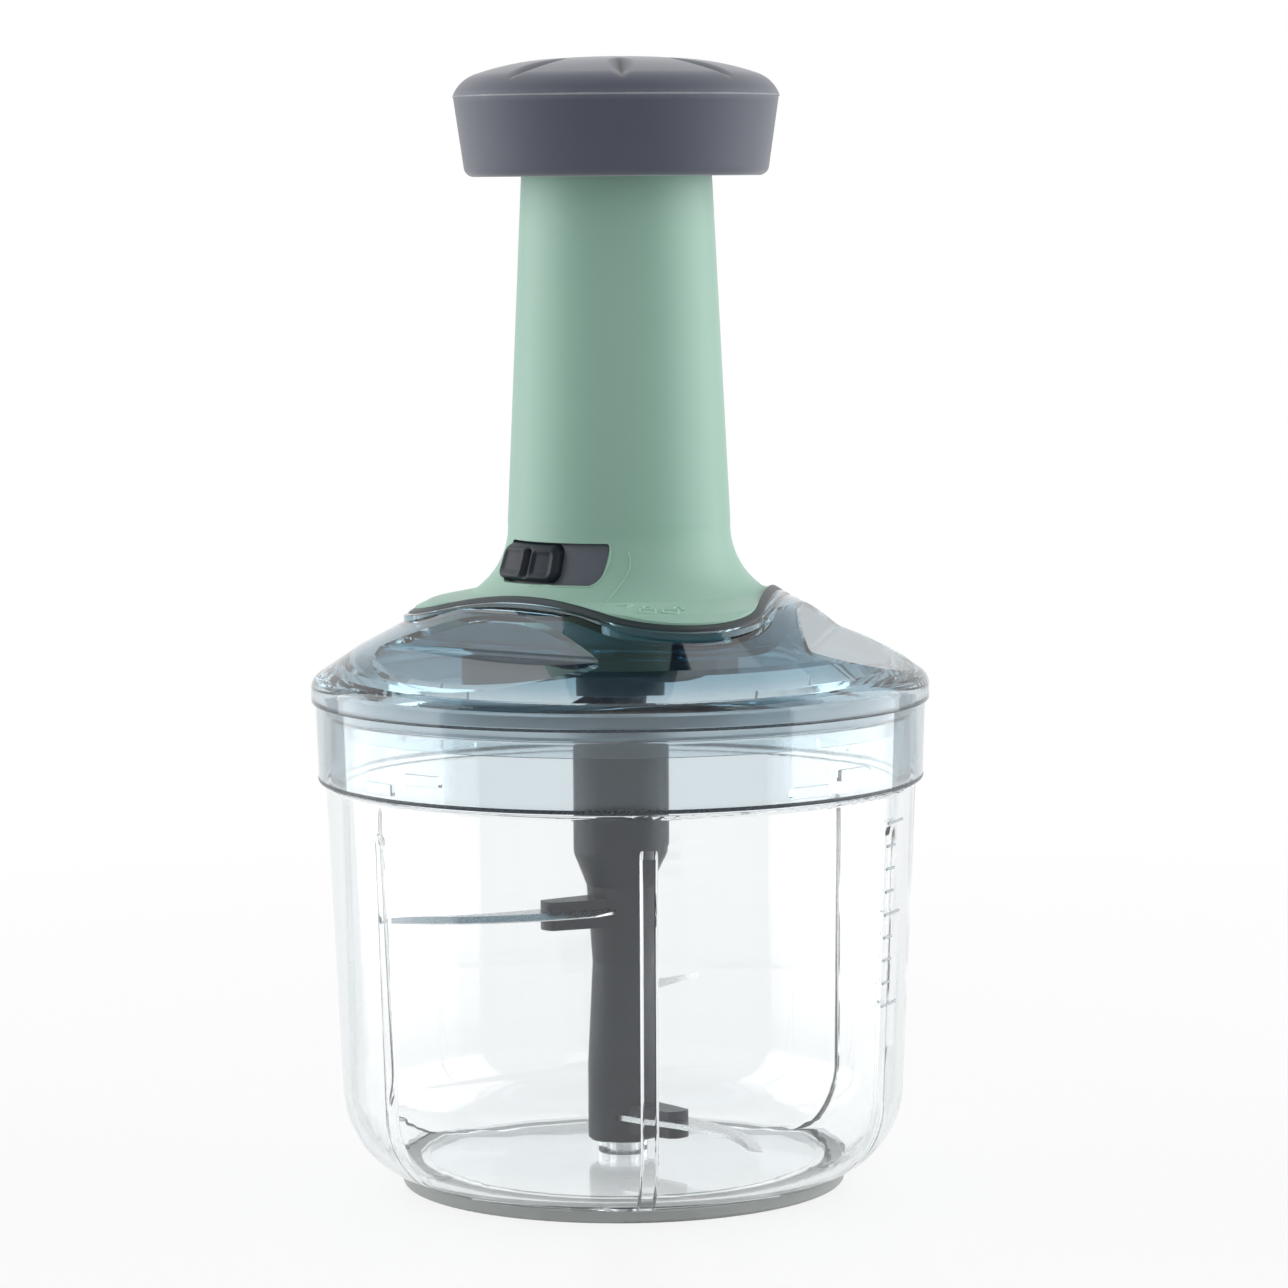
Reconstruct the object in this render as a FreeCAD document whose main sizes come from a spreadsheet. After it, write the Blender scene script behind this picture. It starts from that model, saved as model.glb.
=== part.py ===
import FreeCAD, Part
import Sketcher
import math
import os

Vector = FreeCAD.Vector
Placement = FreeCAD.Placement
Rotation = FreeCAD.Rotation

# Plunger food chopper, in millimetres. The origin is the middle of the foot ring's underside, and +Z is up.
# Bearings are degrees from the front (-Y), counted towards +X, so a bearing of 90 is the right side.

SIZES = {
    # Bowl
    "foot_outer_radius": 49.1,
    "foot_inner_radius": 45.6,
    "foot_height": 2.7,
    "foot_spigot": 1.5,
    "bowl_low_radius": 62.3,
    "bowl_corner_radius": 20.0,
    "bowl_corner_rise": 18.8,
    "bowl_high_radius": 65.2,
    "neck_height": 15.4,
    "neck_radius": 63.8,
    "rim_height": 105.0,
    "bowl_wall": 2.0,
    "neck_wall": 1.8,
    "bowl_floor": 2.5,
    "rib_width": 3.8,
    "rib_depth": 1.2,
    "rib_round": 0.8,
    "rib_drop": 7.6,
    "rib_bearing": 5.5,
    "boss_radius": 5.6,
    "boss_top": 3.0,
    "pin_radius": 2.5,
    "pin_length": 14.0,
    # Bayonet between bowl and lid
    "lug_reach": 1.3,
    "lug_angle": 9.0,
    "lug_thickness": 2.4,
    "lug_rise": 2.0,
    "lug_bearing": 50.0,
    "lock_turn": 12.0,
    # Blade unit
    "bush_radius": 4.4,
    "bush_bore_gap": 0.06,
    "bush_top": 1.6,
    "hub_low_radius": 7.8,
    "hub_waist_radius": 6.6,
    "hub_head_radius": 10.6,
    "hub_head_length": 27.0,
    "hub_drop": 4.0,
    "socket_depth": 14.0,
    "socket_wall": 2.4,
    "socket_rib_width": 3.0,
    "socket_rib_height": 2.6,
    "blade_reach": 54.5,
    "blade_thickness": 1.2,
    "blade_width": 15.0,
    "blade_root_width": 10.5,
    "blade_tip_width": 2.6,
    "blade_bevel": 3.6,
    "blade_bevel_depth": 0.95,
    "blade_edge_arc": 62.0,
    "blade_back_arc": 58.0,
    "blade_tip_arc": 3.4,
    "blade_start": 40.0,
    "blade_turn": 130.0,
    "first_blade_rise": 6.8,
    "blade_pitch": 23.0,
    "blade_seat_depth": 3.0,
    "arm_reach": 19.0,
    "arm_width": 9.0,
    "arm_tip_width": 5.4,
    "arm_thickness": 3.0,
    "arm_cover": 2.1,
    # Lid
    "lid_radius": 68.2,
    "lid_edge_rise": 2.8,
    "lid_edge_band": 4.6,
    "lid_shoulder_round": 3.6,
    "dome_bend_radius": 58.0,
    "dome_bend_rise": 6.8,
    "dome_rise_radius": 39.5,
    "dome_slope_rise": 9.8,
    "dome_top_radius": 30.0,
    "dome_top_rise": 2.6,
    "lid_wall": 2.2,
    "dome_drop": 2.3,
    "dome_inset": 1.0,
    "dome_crown": 0.55,
    "skirt_top_radius": 67.3,
    "skirt_low_radius": 66.7,
    "skirt_foot_gap": 0.6,
    "skirt_inner_radius": 65.4,
    "plug_inner_radius": 59.6,
    "plug_depth": 3.5,
    "seal_seat_rise": 6.0,
    "seal_gap": 0.3,
    "plug_gap": 0.6,
    # Lobed foot of the column and the collar round it
    "foot_waist": 33.0,
    "lobe_radius": 20.6,
    "lobe_bearing": 22.0,
    "collar_gap": 0.3,
    "collar_wall": 2.4,
    "collar_rise": 0.3,
    "collar_fall": 5.0,
    "well_depth": 10.6,
    "well_floor_thickness": 2.0,
    # Finger scoops
    "scoop_crease_radius": 45.3,
    "scoop_depth": 10.6,
    "scoop_wall_slope": 55.0,
    "scoop_floor_slope": 18.2,
    "scoop_round": 3.0,
    # Column
    "column_height": 112.0,
    "column_top_radius": 20.4,
    "column_low_radius": 24.5,
    "column_taper_rise": 15.6,
    "flare_radius": 32.5,
    "flare_rise": 10.4,
    "flare_round": 17.0,
    "lobe_top_radius": 42.0,
    "lobe_top_drop": 1.9,
    "lobe_edge_drop": 2.9,
    "lobe_edge_round": 2.6,
    "column_lip": 1.54,
    "cavity_radius": 27.6,
    "gasket_thickness": 0.9,
    # Lock window and slider
    "window_bearing": -37.0,
    "window_width": 26.7,
    "window_sill": 1.6,
    "window_height": 8.9,
    "window_round": 2.6,
    "lock_travel": 20.0,
    "ring_low_radius": 27.2,
    "ring_high_radius": 22.9,
    "ring_thickness": 2.0,
    "ring_rise": 11.9,
    "ring_height": 12.0,
    "button_height": 2.7,
    "button_rim": 1.2,
    "button_pocket": 0.8,
    "button_gap": 0.3,
    "thumb_radius": 6.5,
    "thumb_depth": 1.7,
    "thumb_turn": 9.0,
    "tab_reach": 15.0,
    "tab_thickness": 2.2,
    "tab_rise": 0.7,
    "tab_angle": 14.0,
    "tab_rest_turn": 2.0,
    "retainer_thickness": 2.0,
    # Plunger
    "tube_radius": 16.5,
    "tube_wall": 2.1,
    "leg_length": 12.0,
    "leg_rise": 10.0,
    "leg_angle": 50.0,
    "leg_bearing": 90.0,
    "notch_gap": 0.7,
    "stroke": 60.0,
    "nut_length": 10.0,
    "flange_radius": 30.4,
    "flange_thickness": 2.8,
    "bush_running_gap": 0.06,
    "bush_length": 20.0,
    # Knob
    "knob_overlap": 10.8,
    "knob_skirt_height": 17.4,
    "knob_radius": 35.6,
    "knob_low_radius": 33.1,
    "knob_low_round": 2.2,
    "knob_wall": 2.4,
    "knob_dome_height": 8.6,
    "knob_plateau_radius": 14.0,
    "knob_plateau_fall": 0.5,
    "knob_band": 0.4,
    "knob_brow_radius": 31.0,
    "knob_brow_fall": 3.8,
    "knob_brow_arc": 8.0,
    "knob_shoulder_arc": 62.0,
    "knob_mouth_gap": 0.9,
    "knob_groove_width": 5.6,
    "knob_groove_depth": 1.5,
    "knob_groove_place": 22.5,
    "knob_groove_wheel": 34.0,
    # Drive
    "spindle_width": 6.4,
    "spindle_lead": 40.0,
    "nut_clearance": 0.25,
    "journal_radius": 5.0,
    "running_gap": 0.08,
    "thrust_radius": 9.0,
    "thrust_thickness": 2.2,
    "washer_thickness": 1.0,
    "ratchet_outer_radius": 8.6,
    "ratchet_height": 3.2,
    "tooth_height": 1.6,
    "coupling_radius": 5.0,
    "coupling_length": 12.0,
    "coupling_lead": 1.0,
    "fin_reach": 7.2,
    "fin_width": 2.8,
    "housing_waist": 24.0,
    "housing_lobe_radius": 13.0,
    "housing_height": 13.5,
    "housing_wall": 2.2,
    "output_bush_wall": 1.6,
    # Return spring
    "spring_radius": 12.3,
    "spring_wire": 1.4,
    "spring_turns": 8.0,
    "spring_seat_thickness": 2.6,
    # Screws
    "screw_radius": 1.5,
    "screw_head_radius": 2.9,
    "screw_head_height": 1.8,
    "housing_screw_circle": 29.0,
    "housing_screw_length": 22.0,
    "knob_screw_circle": 25.0,
    "knob_screw_length": 7.0,
}

LOBE_COUNT = 3
BLADE_COUNT = 3
RIB_COUNT = 6
LUG_COUNT = 4
GROOVE_COUNT = 6
TOOTH_COUNT = 12
FIN_COUNT = 3
LEG_COUNT = 2
HALF_TURN = 180
FULL_TURN = 360
QUARTER_TURN = 90

doc = FreeCAD.newDocument("plunger_food_chopper")
sheet = doc.addObject("Spreadsheet::Sheet", "Sizes")
for row, (alias, number) in enumerate(SIZES.items(), start=1):
    sheet.set("A%d" % row, alias)
    sheet.set("B%d" % row, str(number))
    sheet.setAlias("B%d" % row, alias)
doc.recompute()


class Size:
    """A length or an angle, together with the sheet expression that it follows."""

    def __init__(self, value, text):
        self.value = float(value)
        self.text = text

    def joined(self, other, sign, value):
        return Size(value, "(%s %s %s)" % (self.text, sign, as_size(other).text))

    def __add__(self, other):
        return self.joined(other, "+", self.value + as_size(other).value)

    def __radd__(self, other):
        return as_size(other) + self

    def __sub__(self, other):
        return self.joined(other, "-", self.value - as_size(other).value)

    def __rsub__(self, other):
        return as_size(other) - self

    def __mul__(self, other):
        return self.joined(other, "*", self.value * as_size(other).value)

    def __rmul__(self, other):
        return as_size(other) * self

    def __truediv__(self, other):
        return self.joined(other, "/", self.value / as_size(other).value)

    def __neg__(self):
        return as_size(0) - self


def as_size(number):
    if isinstance(number, Size):
        return number
    return Size(number, repr(float(number)))


def size_of(name):
    return Size(SIZES[name], "Sizes." + name)


def root(size):
    return Size(math.sqrt(size.value), "sqrt(%s)" % size.text)


def sine(degrees):
    degrees = as_size(degrees)
    return Size(math.sin(math.radians(degrees.value)), "sin(%s * 1 deg)" % degrees.text)


def cosine(degrees):
    degrees = as_size(degrees)
    return Size(math.cos(math.radians(degrees.value)), "cos(%s * 1 deg)" % degrees.text)


def polar(radius, bearing):
    """The point at a radius and a bearing from the front."""
    radius = as_size(radius)
    return (radius * sine(bearing), -(radius * cosine(bearing)))


class Names:
    """Gives every named size as an attribute."""

    def __getattr__(self, name):
        return size_of(name)


mm = Names()

# Levels: each height stands on another one, so that a change in one place lifts what is above it.

mm.bowl_corner_height = mm.foot_height + mm.bowl_corner_rise
mm.shoulder_height = mm.rim_height - mm.neck_height
mm.rib_top_height = mm.shoulder_height - mm.rib_drop
mm.lid_lug_height = mm.shoulder_height + mm.lug_rise
mm.hub_top_height = mm.rim_height - mm.hub_drop
mm.hub_head_height = mm.hub_top_height - mm.hub_head_length
mm.lid_edge_height = mm.rim_height + mm.lid_edge_rise
mm.lid_shoulder_height = mm.lid_edge_height + mm.lid_edge_band
mm.dome_bend_height = mm.lid_shoulder_height + mm.dome_bend_rise
mm.dome_rise_height = mm.dome_bend_height + mm.dome_slope_rise
mm.dome_top_height = mm.dome_rise_height + mm.dome_top_rise
mm.skirt_bottom_height = mm.shoulder_height + mm.skirt_foot_gap
mm.plug_bottom_height = mm.rim_height - mm.plug_depth
mm.seal_seat_height = mm.rim_height + mm.seal_seat_rise
mm.collar_high = mm.dome_top_height + mm.collar_rise
mm.collar_low = mm.collar_high - mm.collar_fall
mm.well_floor_height = mm.dome_top_height - mm.well_depth
mm.scoop_crease_height = mm.dome_top_height - mm.scoop_depth
mm.column_top_height = mm.well_floor_height + mm.column_height
mm.flare_height = mm.well_floor_height + mm.flare_rise
mm.column_low_height = mm.flare_height + mm.column_taper_rise
mm.lobe_top_height = mm.flare_height - mm.lobe_top_drop
mm.lobe_edge_height = mm.lobe_top_height - mm.lobe_edge_drop
mm.ring_low = mm.well_floor_height + mm.ring_rise
mm.ring_high = mm.ring_low + mm.ring_height
mm.window_low = mm.ring_low + mm.window_sill
mm.window_high = mm.window_low + mm.window_height
mm.tab_height = mm.ring_low + mm.tab_rise
mm.leg_low = mm.well_floor_height + mm.leg_rise
mm.tube_low = mm.leg_low + mm.leg_length
mm.knob_bottom_height = mm.column_top_height - mm.knob_overlap
mm.knob_seam_height = mm.knob_bottom_height + mm.knob_skirt_height
mm.knob_top_height = mm.knob_seam_height + mm.knob_dome_height
mm.knob_brow_height = mm.knob_top_height - mm.knob_brow_fall
mm.coupling_bottom = mm.hub_top_height - mm.coupling_length


def bind(target, prop, size):
    target.setExpression(prop, as_size(size).text)


def origin_plane(body, role):
    return next(item for item in body.Origin.OriginFeatures if item.Role == role)


def start_arc(start, end, radius):
    """A first guess of the arc from start to end; a negative radius turns clockwise."""
    chord = end - start
    left = Vector(-chord.y, chord.x, 0).normalize()
    side = 1 if radius > 0 else -1
    depth = math.sqrt(max(radius * radius - chord.Length * chord.Length / 4, 0))
    centre = (start + end) * 0.5 + left * side * depth
    first, last = (start, end) if radius > 0 else (end, start)
    from_angle = math.atan2(first.y - centre.y, first.x - centre.x)
    to_angle = math.atan2(last.y - centre.y, last.x - centre.x)
    if to_angle < from_angle:
        to_angle += 2 * math.pi
    circle = Part.Circle(centre, Vector(0, 0, 1), abs(radius))
    return Part.ArcOfCircle(circle, from_angle, to_angle)


def draw(body, name, role, corners, height=None):
    """A closed sketch. A corner is (across, up) or (across, up, radius of the arc to the next corner)."""
    sketch = body.newObject("Sketcher::SketchObject", name)
    sketch.AttachmentSupport = [(origin_plane(body, role), "")]
    sketch.MapMode = "FlatFace"
    if height is not None:
        bind(sketch, ".AttachmentOffset.Base.z", height)
    count = len(corners)
    places = [Vector(as_size(corner[0]).value, as_size(corner[1]).value, 0) for corner in corners]
    for index, corner in enumerate(corners):
        following = places[(index + 1) % count]
        if len(corner) == 3:
            sketch.addGeometry(start_arc(places[index], following, as_size(corner[2]).value), False)
        else:
            sketch.addGeometry(Part.LineSegment(places[index], following), False)
    clockwise = [len(corner) == 3 and as_size(corner[2]).value < 0 for corner in corners]
    for index in range(count):
        following = (index + 1) % count
        end = 1 if clockwise[index] else 2
        start = 2 if clockwise[following] else 1
        sketch.addConstraint(Sketcher.Constraint("Coincident", index, end, following, start))
    for index, corner in enumerate(corners):
        start = 2 if clockwise[index] else 1
        for kind, coordinate in (("DistanceX", corner[0]), ("DistanceY", corner[1])):
            coordinate = as_size(coordinate)
            number = sketch.addConstraint(
                Sketcher.Constraint(kind, -1, 1, index, start, coordinate.value))
            bind(sketch, "Constraints[%d]" % number, coordinate)
        if len(corner) == 3:
            radius = as_size(corner[2])
            if radius.value < 0:
                radius = -radius
            number = sketch.addConstraint(Sketcher.Constraint("Radius", index, radius.value))
            bind(sketch, "Constraints[%d]" % number, radius)
    return sketch


def revolve(label, corners, rounds=()):
    """A body turned about Z. rounds holds (radius, height, size of the rounding) for its corners."""
    body = doc.addObject("PartDesign::Body", label)
    body.Label = label
    sketch = draw(body, label + "_profile", "XZ_Plane", corners)
    turned = body.newObject("PartDesign::Revolution", label + "_turned")
    turned.Profile = sketch
    turned.ReferenceAxis = (sketch, ["V_Axis"])
    turned.Angle = FULL_TURN
    sketch.Visibility = False
    doc.recompute()
    for number, (radius, height, amount) in enumerate(rounds):
        round_edges(body, "%s_round_%d" % (label, number), ring_edges(body.Shape, radius, height), amount)
    return body


# Two places closer than this are the same place.
TOUCH = 0.01


def ring_edges(shape, radius, height):
    """The names of the circular edges at a radius and a height."""
    radius = as_size(radius).value
    height = as_size(height).value
    names = []
    for number, edge in enumerate(shape.Edges, start=1):
        if not isinstance(edge.Curve, Part.Circle):
            continue
        centre = edge.Curve.Center
        on_axis = math.hypot(centre.x, centre.y) < 0.001
        if on_axis and abs(edge.Curve.Radius - radius) < TOUCH and abs(centre.z - height) < TOUCH:
            names.append("Edge%d" % number)
    return names


def round_edges(body, name, edges, amount):
    base = body.Tip
    fillet = body.newObject("PartDesign::Fillet", name)
    fillet.Base = (base, edges)
    bind(fillet, "Radius", amount)
    doc.recompute()
    return fillet


def prism(label, corners, low, high):
    """A straight body on the outline given in plan, from one height to another."""
    body = doc.addObject("PartDesign::Body", label)
    body.Label = label
    sketch = draw(body, label + "_outline", "XY_Plane", corners, low)
    pad = body.newObject("PartDesign::Pad", label + "_pad")
    pad.Profile = sketch
    bind(pad, "Length", as_size(high) - low)
    sketch.Visibility = False
    doc.recompute()
    return body


def lobed_outline(waist, lobe, grow, count=LOBE_COUNT):
    """A rounded triangle: flat sides at the waist's distance, and round lobes between them."""
    centre = (waist - lobe) * 2
    half_step = HALF_TURN / count
    corners = []
    for number in range(count):
        bearing = mm.lobe_bearing + number * FULL_TURN / count
        middle = polar(centre, bearing)
        for side in (-half_step, half_step):
            edge = polar(lobe + grow, bearing + side)
            corner = (middle[0] + edge[0], middle[1] + edge[1])
            corners.append(corner + (lobe + grow,) if side < 0 else corner)
    return corners


def cylinder(label, radius, low, high, x=0, y=0):
    item = doc.addObject("Part::Cylinder", label)
    item.Label = label
    bind(item, "Radius", radius)
    bind(item, "Height", as_size(high) - low)
    bind(item, ".Placement.Base.z", low)
    bind(item, ".Placement.Base.x", x)
    bind(item, ".Placement.Base.y", y)
    return item


def tube(label, outer, inner, low, high):
    return revolve(label, [(inner, low), (outer, low), (outer, high), (inner, high)])


def block(label, radial, across, tall, bearing):
    """A box with its length along a bearing: radial, across and tall each give (from, to)."""
    item = doc.addObject("Part::Box", label)
    item.Label = label
    bind(item, "Length", as_size(radial[1]) - radial[0])
    bind(item, "Width", as_size(across[1]) - across[0])
    bind(item, "Height", as_size(tall[1]) - tall[0])
    turn = as_size(bearing) - QUARTER_TURN
    along = polar(radial[0], bearing)
    aside = polar(across[0], as_size(bearing) + QUARTER_TURN)
    bind(item, ".Placement.Base.x", along[0] + aside[0])
    bind(item, ".Placement.Base.y", along[1] + aside[1])
    bind(item, ".Placement.Base.z", tall[0])
    item.Placement.Rotation = Rotation(Vector(0, 0, 1), turn.value)
    bind(item, ".Placement.Rotation.Angle", turn)
    return item


def combine(kind, label, shapes):
    item = doc.addObject("Part::Multi" + kind, label)
    item.Label = label
    item.Shapes = shapes
    return item


def fuse(label, shapes):
    return combine("Fuse", label, shapes)


def common(label, shapes):
    return combine("Common", label, shapes)


def cut(label, base, tools):
    item = doc.addObject("Part::Cut", label)
    item.Label = label
    item.Base = base
    item.Tool = tools[0] if len(tools) == 1 else fuse(label + "_tools", tools)
    return item


def turned_copies(label, make, count, first=0):
    """The same piece at even bearings round the axis."""
    return [make("%s_%d" % (label, number), as_size(first) + number * FULL_TURN / count)
            for number in range(count)]


pieces = []


def keep(item):
    pieces.append(item)
    return item


# Tools that cut right through a piece stand out of it by this much at each end.
PAST = 1.0

# Bowl

corner_centre = mm.bowl_low_radius - mm.bowl_corner_radius
foot_drop = mm.bowl_corner_height - mm.foot_height
bowl_foot_radius = corner_centre + root(mm.bowl_corner_radius * mm.bowl_corner_radius
                                        - foot_drop * foot_drop)
floor_height = mm.foot_height + mm.bowl_floor
inner_corner = mm.bowl_corner_radius - mm.bowl_wall
floor_drop = mm.bowl_corner_height - floor_height
floor_radius = corner_centre + root(inner_corner * inner_corner - floor_drop * floor_drop)
bowl_inner_low = mm.bowl_low_radius - mm.bowl_wall
bowl_inner_top = mm.neck_radius - mm.neck_wall
boss_height = floor_height + mm.boss_top
pin_bottom = mm.foot_height + mm.bowl_floor / 2
pin_top = pin_bottom + mm.pin_length


def bowl_wall_line(height):
    """The radius of the bowl's inner wall at a height above its round corner."""
    share = (as_size(height) - mm.bowl_corner_height) / (mm.rim_height - mm.bowl_corner_height)
    return bowl_inner_low + (bowl_inner_top - bowl_inner_low) * share


def make_bowl():
    spigot_radius = mm.foot_inner_radius - mm.running_gap
    spigot_bottom = mm.foot_height - mm.foot_spigot
    shell = revolve("bowl_shell", [
        (0, mm.foot_height),
        (spigot_radius - mm.bowl_wall, mm.foot_height),
        (spigot_radius - mm.bowl_wall, spigot_bottom),
        (spigot_radius, spigot_bottom),
        (spigot_radius, mm.foot_height),
        (bowl_foot_radius, mm.foot_height, mm.bowl_corner_radius),
        (mm.bowl_low_radius, mm.bowl_corner_height),
        (mm.bowl_high_radius, mm.shoulder_height),
        (mm.neck_radius, mm.shoulder_height),
        (mm.neck_radius, mm.rim_height),
        (bowl_inner_top, mm.rim_height),
        (bowl_inner_low, mm.bowl_corner_height, -inner_corner),
        (floor_radius, floor_height),
        (mm.boss_radius, floor_height),
        (mm.boss_radius, boss_height),
        (mm.pin_radius, boss_height),
        (mm.pin_radius, pin_bottom),
        (0, pin_bottom),
    ], rounds=[
        (mm.bowl_high_radius, mm.shoulder_height, mm.neck_wall / 2),
        (mm.neck_radius, mm.rim_height, mm.neck_wall / 4),
        (bowl_inner_top, mm.rim_height, mm.neck_wall / 4),
    ])
    body = doc.addObject("PartDesign::Body", "bowl_ribs")
    buried = mm.bowl_wall / 2
    rib_inner = inner_corner - mm.rib_depth
    rib_foot = corner_centre + root(rib_inner * rib_inner - floor_drop * floor_drop)
    outer_arc = inner_corner + buried
    outer_foot = corner_centre + root(outer_arc * outer_arc - floor_drop * floor_drop)
    sketch = draw(body, "rib_profile", "XZ_Plane", [
        (rib_foot, floor_height),
        (outer_foot, floor_height, outer_arc),
        (bowl_inner_low + buried, mm.bowl_corner_height),
        (bowl_wall_line(mm.rib_top_height) + buried, mm.rib_top_height),
        (bowl_wall_line(mm.rib_top_height) - mm.rib_depth / 4, mm.rib_top_height),
        (bowl_wall_line(mm.rib_top_height) - mm.rib_depth, mm.rib_top_height - mm.rib_width / 2),
        (bowl_inner_low - mm.rib_depth, mm.bowl_corner_height, -rib_inner),
    ])
    pad = body.newObject("PartDesign::Pad", "rib_pad")
    pad.Profile = sketch
    pad.SideType = "Symmetric"
    bind(pad, "Length", mm.rib_width)
    doc.recompute()
    rounded = round_edges(body, "rib_round", inner_side_edges(body.Shape, mm.rib_width / 2), mm.rib_round)
    pattern = body.newObject("PartDesign::PolarPattern", "rib_pattern")
    pattern.Originals = [rounded]
    pattern.TransformMode = "Whole shape"
    pattern.Axis = (origin_axis(body, "Z_Axis"), [""])
    pattern.Angle = FULL_TURN
    pattern.Occurrences = RIB_COUNT
    body.Tip = pattern
    body.Placement.Rotation = Rotation(Vector(0, 0, 1), mm.rib_bearing.value - QUARTER_TURN)
    bind(body, ".Placement.Rotation.Angle", mm.rib_bearing - QUARTER_TURN)
    lugs = lug_ring("bowl_lug", mm.neck_radius - mm.neck_wall / 2, mm.neck_radius + mm.lug_reach,
                    bowl_lug_height, bowl_lug_height + mm.lug_thickness, mm.lug_bearing)
    return fuse("bowl", [shell, body, lugs])


def in_bowl(across, height):
    """True for a place in a half section that lies in the hollow of the bowl."""
    if height > mm.bowl_corner_height.value:
        return across < bowl_wall_line(height).value
    reach = math.hypot(across - corner_centre.value, mm.bowl_corner_height.value - height)
    return height > floor_height.value + TOUCH and reach < inner_corner.value


def inner_side_edges(shape, half):
    """The names of the long edges at both sides of a rib that face the inside of the bowl."""
    names = []
    for number, edge in enumerate(shape.Edges, start=1):
        middle = edge.valueAt((edge.FirstParameter + edge.LastParameter) / 2)
        if abs(abs(middle.y) - half.value) < TOUCH and in_bowl(middle.x, middle.z):
            names.append("Edge%d" % number)
    return names


def origin_axis(body, role):
    return next(item for item in body.Origin.OriginFeatures if item.Role == role)


def lug_ring(label, inner, outer, low, high, bearing):
    """Short pieces of a ring, evenly spaced: the lugs of the bayonet."""
    body = doc.addObject("PartDesign::Body", label + "s")
    half = mm.lug_angle / 2
    points = []
    for radius, turn in ((inner, -half), (outer, -half), (outer, half), (inner, half)):
        across, up = polar(radius, bearing + turn)
        points.append((across, up))
    points[1] = points[1] + (outer,)
    points[3] = points[3] + (-inner,)
    sketch = draw(body, label + "_outline", "XY_Plane", points, low)
    pad = body.newObject("PartDesign::Pad", label + "_pad")
    pad.Profile = sketch
    bind(pad, "Length", as_size(high) - low)
    doc.recompute()
    pattern = body.newObject("PartDesign::PolarPattern", label + "_pattern")
    pattern.Originals = [pad]
    pattern.Axis = (origin_axis(body, "Z_Axis"), [""])
    pattern.Angle = FULL_TURN
    pattern.Occurrences = LUG_COUNT
    body.Tip = pattern
    doc.recompute()
    return body


bowl_lug_height = mm.lid_lug_height + mm.lug_thickness + mm.seal_gap
bowl = keep(make_bowl())

foot_ring = keep(revolve("foot_ring", [
    (mm.foot_inner_radius, 0),
    (mm.foot_outer_radius, 0),
    (mm.foot_outer_radius, mm.foot_height),
    (mm.foot_inner_radius, mm.foot_height),
], rounds=[(mm.foot_outer_radius, 0, mm.foot_height / 4)]))

pivot_pin = keep(revolve("pivot_pin", [
    (0, pin_bottom),
    (mm.pin_radius, pin_bottom),
    (mm.pin_radius, pin_top),
    (0, pin_top),
], rounds=[(mm.pin_radius, pin_top, mm.pin_radius / 2)]))

# Blade unit

bush_low = boss_height + mm.seal_gap
bush_roof = pin_top + mm.running_gap
bush_high = bush_roof + mm.bush_top
bush_bore = mm.pin_radius + mm.bush_bore_gap
hub_bottom = bush_low + mm.seal_gap
socket_radius = mm.hub_head_radius - mm.socket_wall
socket_bottom = mm.hub_top_height - mm.socket_depth

hub_bush = keep(revolve("hub_bush", [
    (bush_bore, bush_low),
    (mm.bush_radius, bush_low),
    (mm.bush_radius, bush_high),
    (0, bush_high),
    (0, bush_roof),
    (bush_bore, bush_roof),
]))


def blade_height(number):
    return boss_height + mm.first_blade_rise + mm.blade_pitch * number


def blade_bearing(number):
    return mm.blade_turn * number + mm.blade_start


def make_blade(number, label):
    """A sickle blade: a flat root in the hub, a convex sharpened edge and a hollow back."""
    body = doc.addObject("PartDesign::Body", label)
    body.Label = label
    root_radius = mm.hub_low_radius - mm.blade_seat_depth
    root_half = mm.blade_root_width / 2
    neck = mm.hub_low_radius + mm.blade_seat_depth
    half = mm.blade_width / 2
    tip = mm.blade_reach
    sketch = draw(body, label + "_outline", "XY_Plane", [
        (root_radius, root_half),
        (neck, half, -mm.blade_edge_arc),
        (tip, -half, -mm.blade_tip_arc),
        (tip - mm.blade_tip_width, -half - mm.blade_tip_width / 2, mm.blade_back_arc),
        (neck, -root_half),
        (root_radius, -root_half),
    ], 0)
    pad = body.newObject("PartDesign::Pad", label + "_pad")
    pad.Profile = sketch
    bind(pad, "Length", mm.blade_thickness)
    doc.recompute()
    edge = longest_arc(body.Shape, mm.blade_edge_arc, mm.blade_thickness)
    bevel = body.newObject("PartDesign::Chamfer", label + "_bevel")
    bevel.Base = (pad, [edge])
    bevel.ChamferType = 1
    bind(bevel, "Size", mm.blade_bevel_depth)
    bind(bevel, "Size2", mm.blade_bevel)
    doc.recompute()
    turn = blade_bearing(number) - QUARTER_TURN
    body.Placement = Placement(Vector(0, 0, blade_height(number).value),
                               Rotation(Vector(0, 0, 1), turn.value))
    bind(body, ".Placement.Base.z", blade_height(number))
    bind(body, ".Placement.Rotation.Angle", turn)
    return body


def longest_arc(shape, radius, height):
    """The name of the arc of a radius that lies at a height."""
    radius = as_size(radius).value
    height = as_size(height).value
    for number, edge in enumerate(shape.Edges, start=1):
        if not isinstance(edge.Curve, Part.Circle):
            continue
        level = edge.Curve.Center.z
        if abs(edge.Curve.Radius - radius) < TOUCH and abs(level - height) < TOUCH:
            return "Edge%d" % number
    raise ValueError("no arc of radius %.2f" % radius)


blades = [keep(make_blade(number, label))
          for number, label in enumerate(("lower_blade", "middle_blade", "upper_blade"))]


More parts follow.
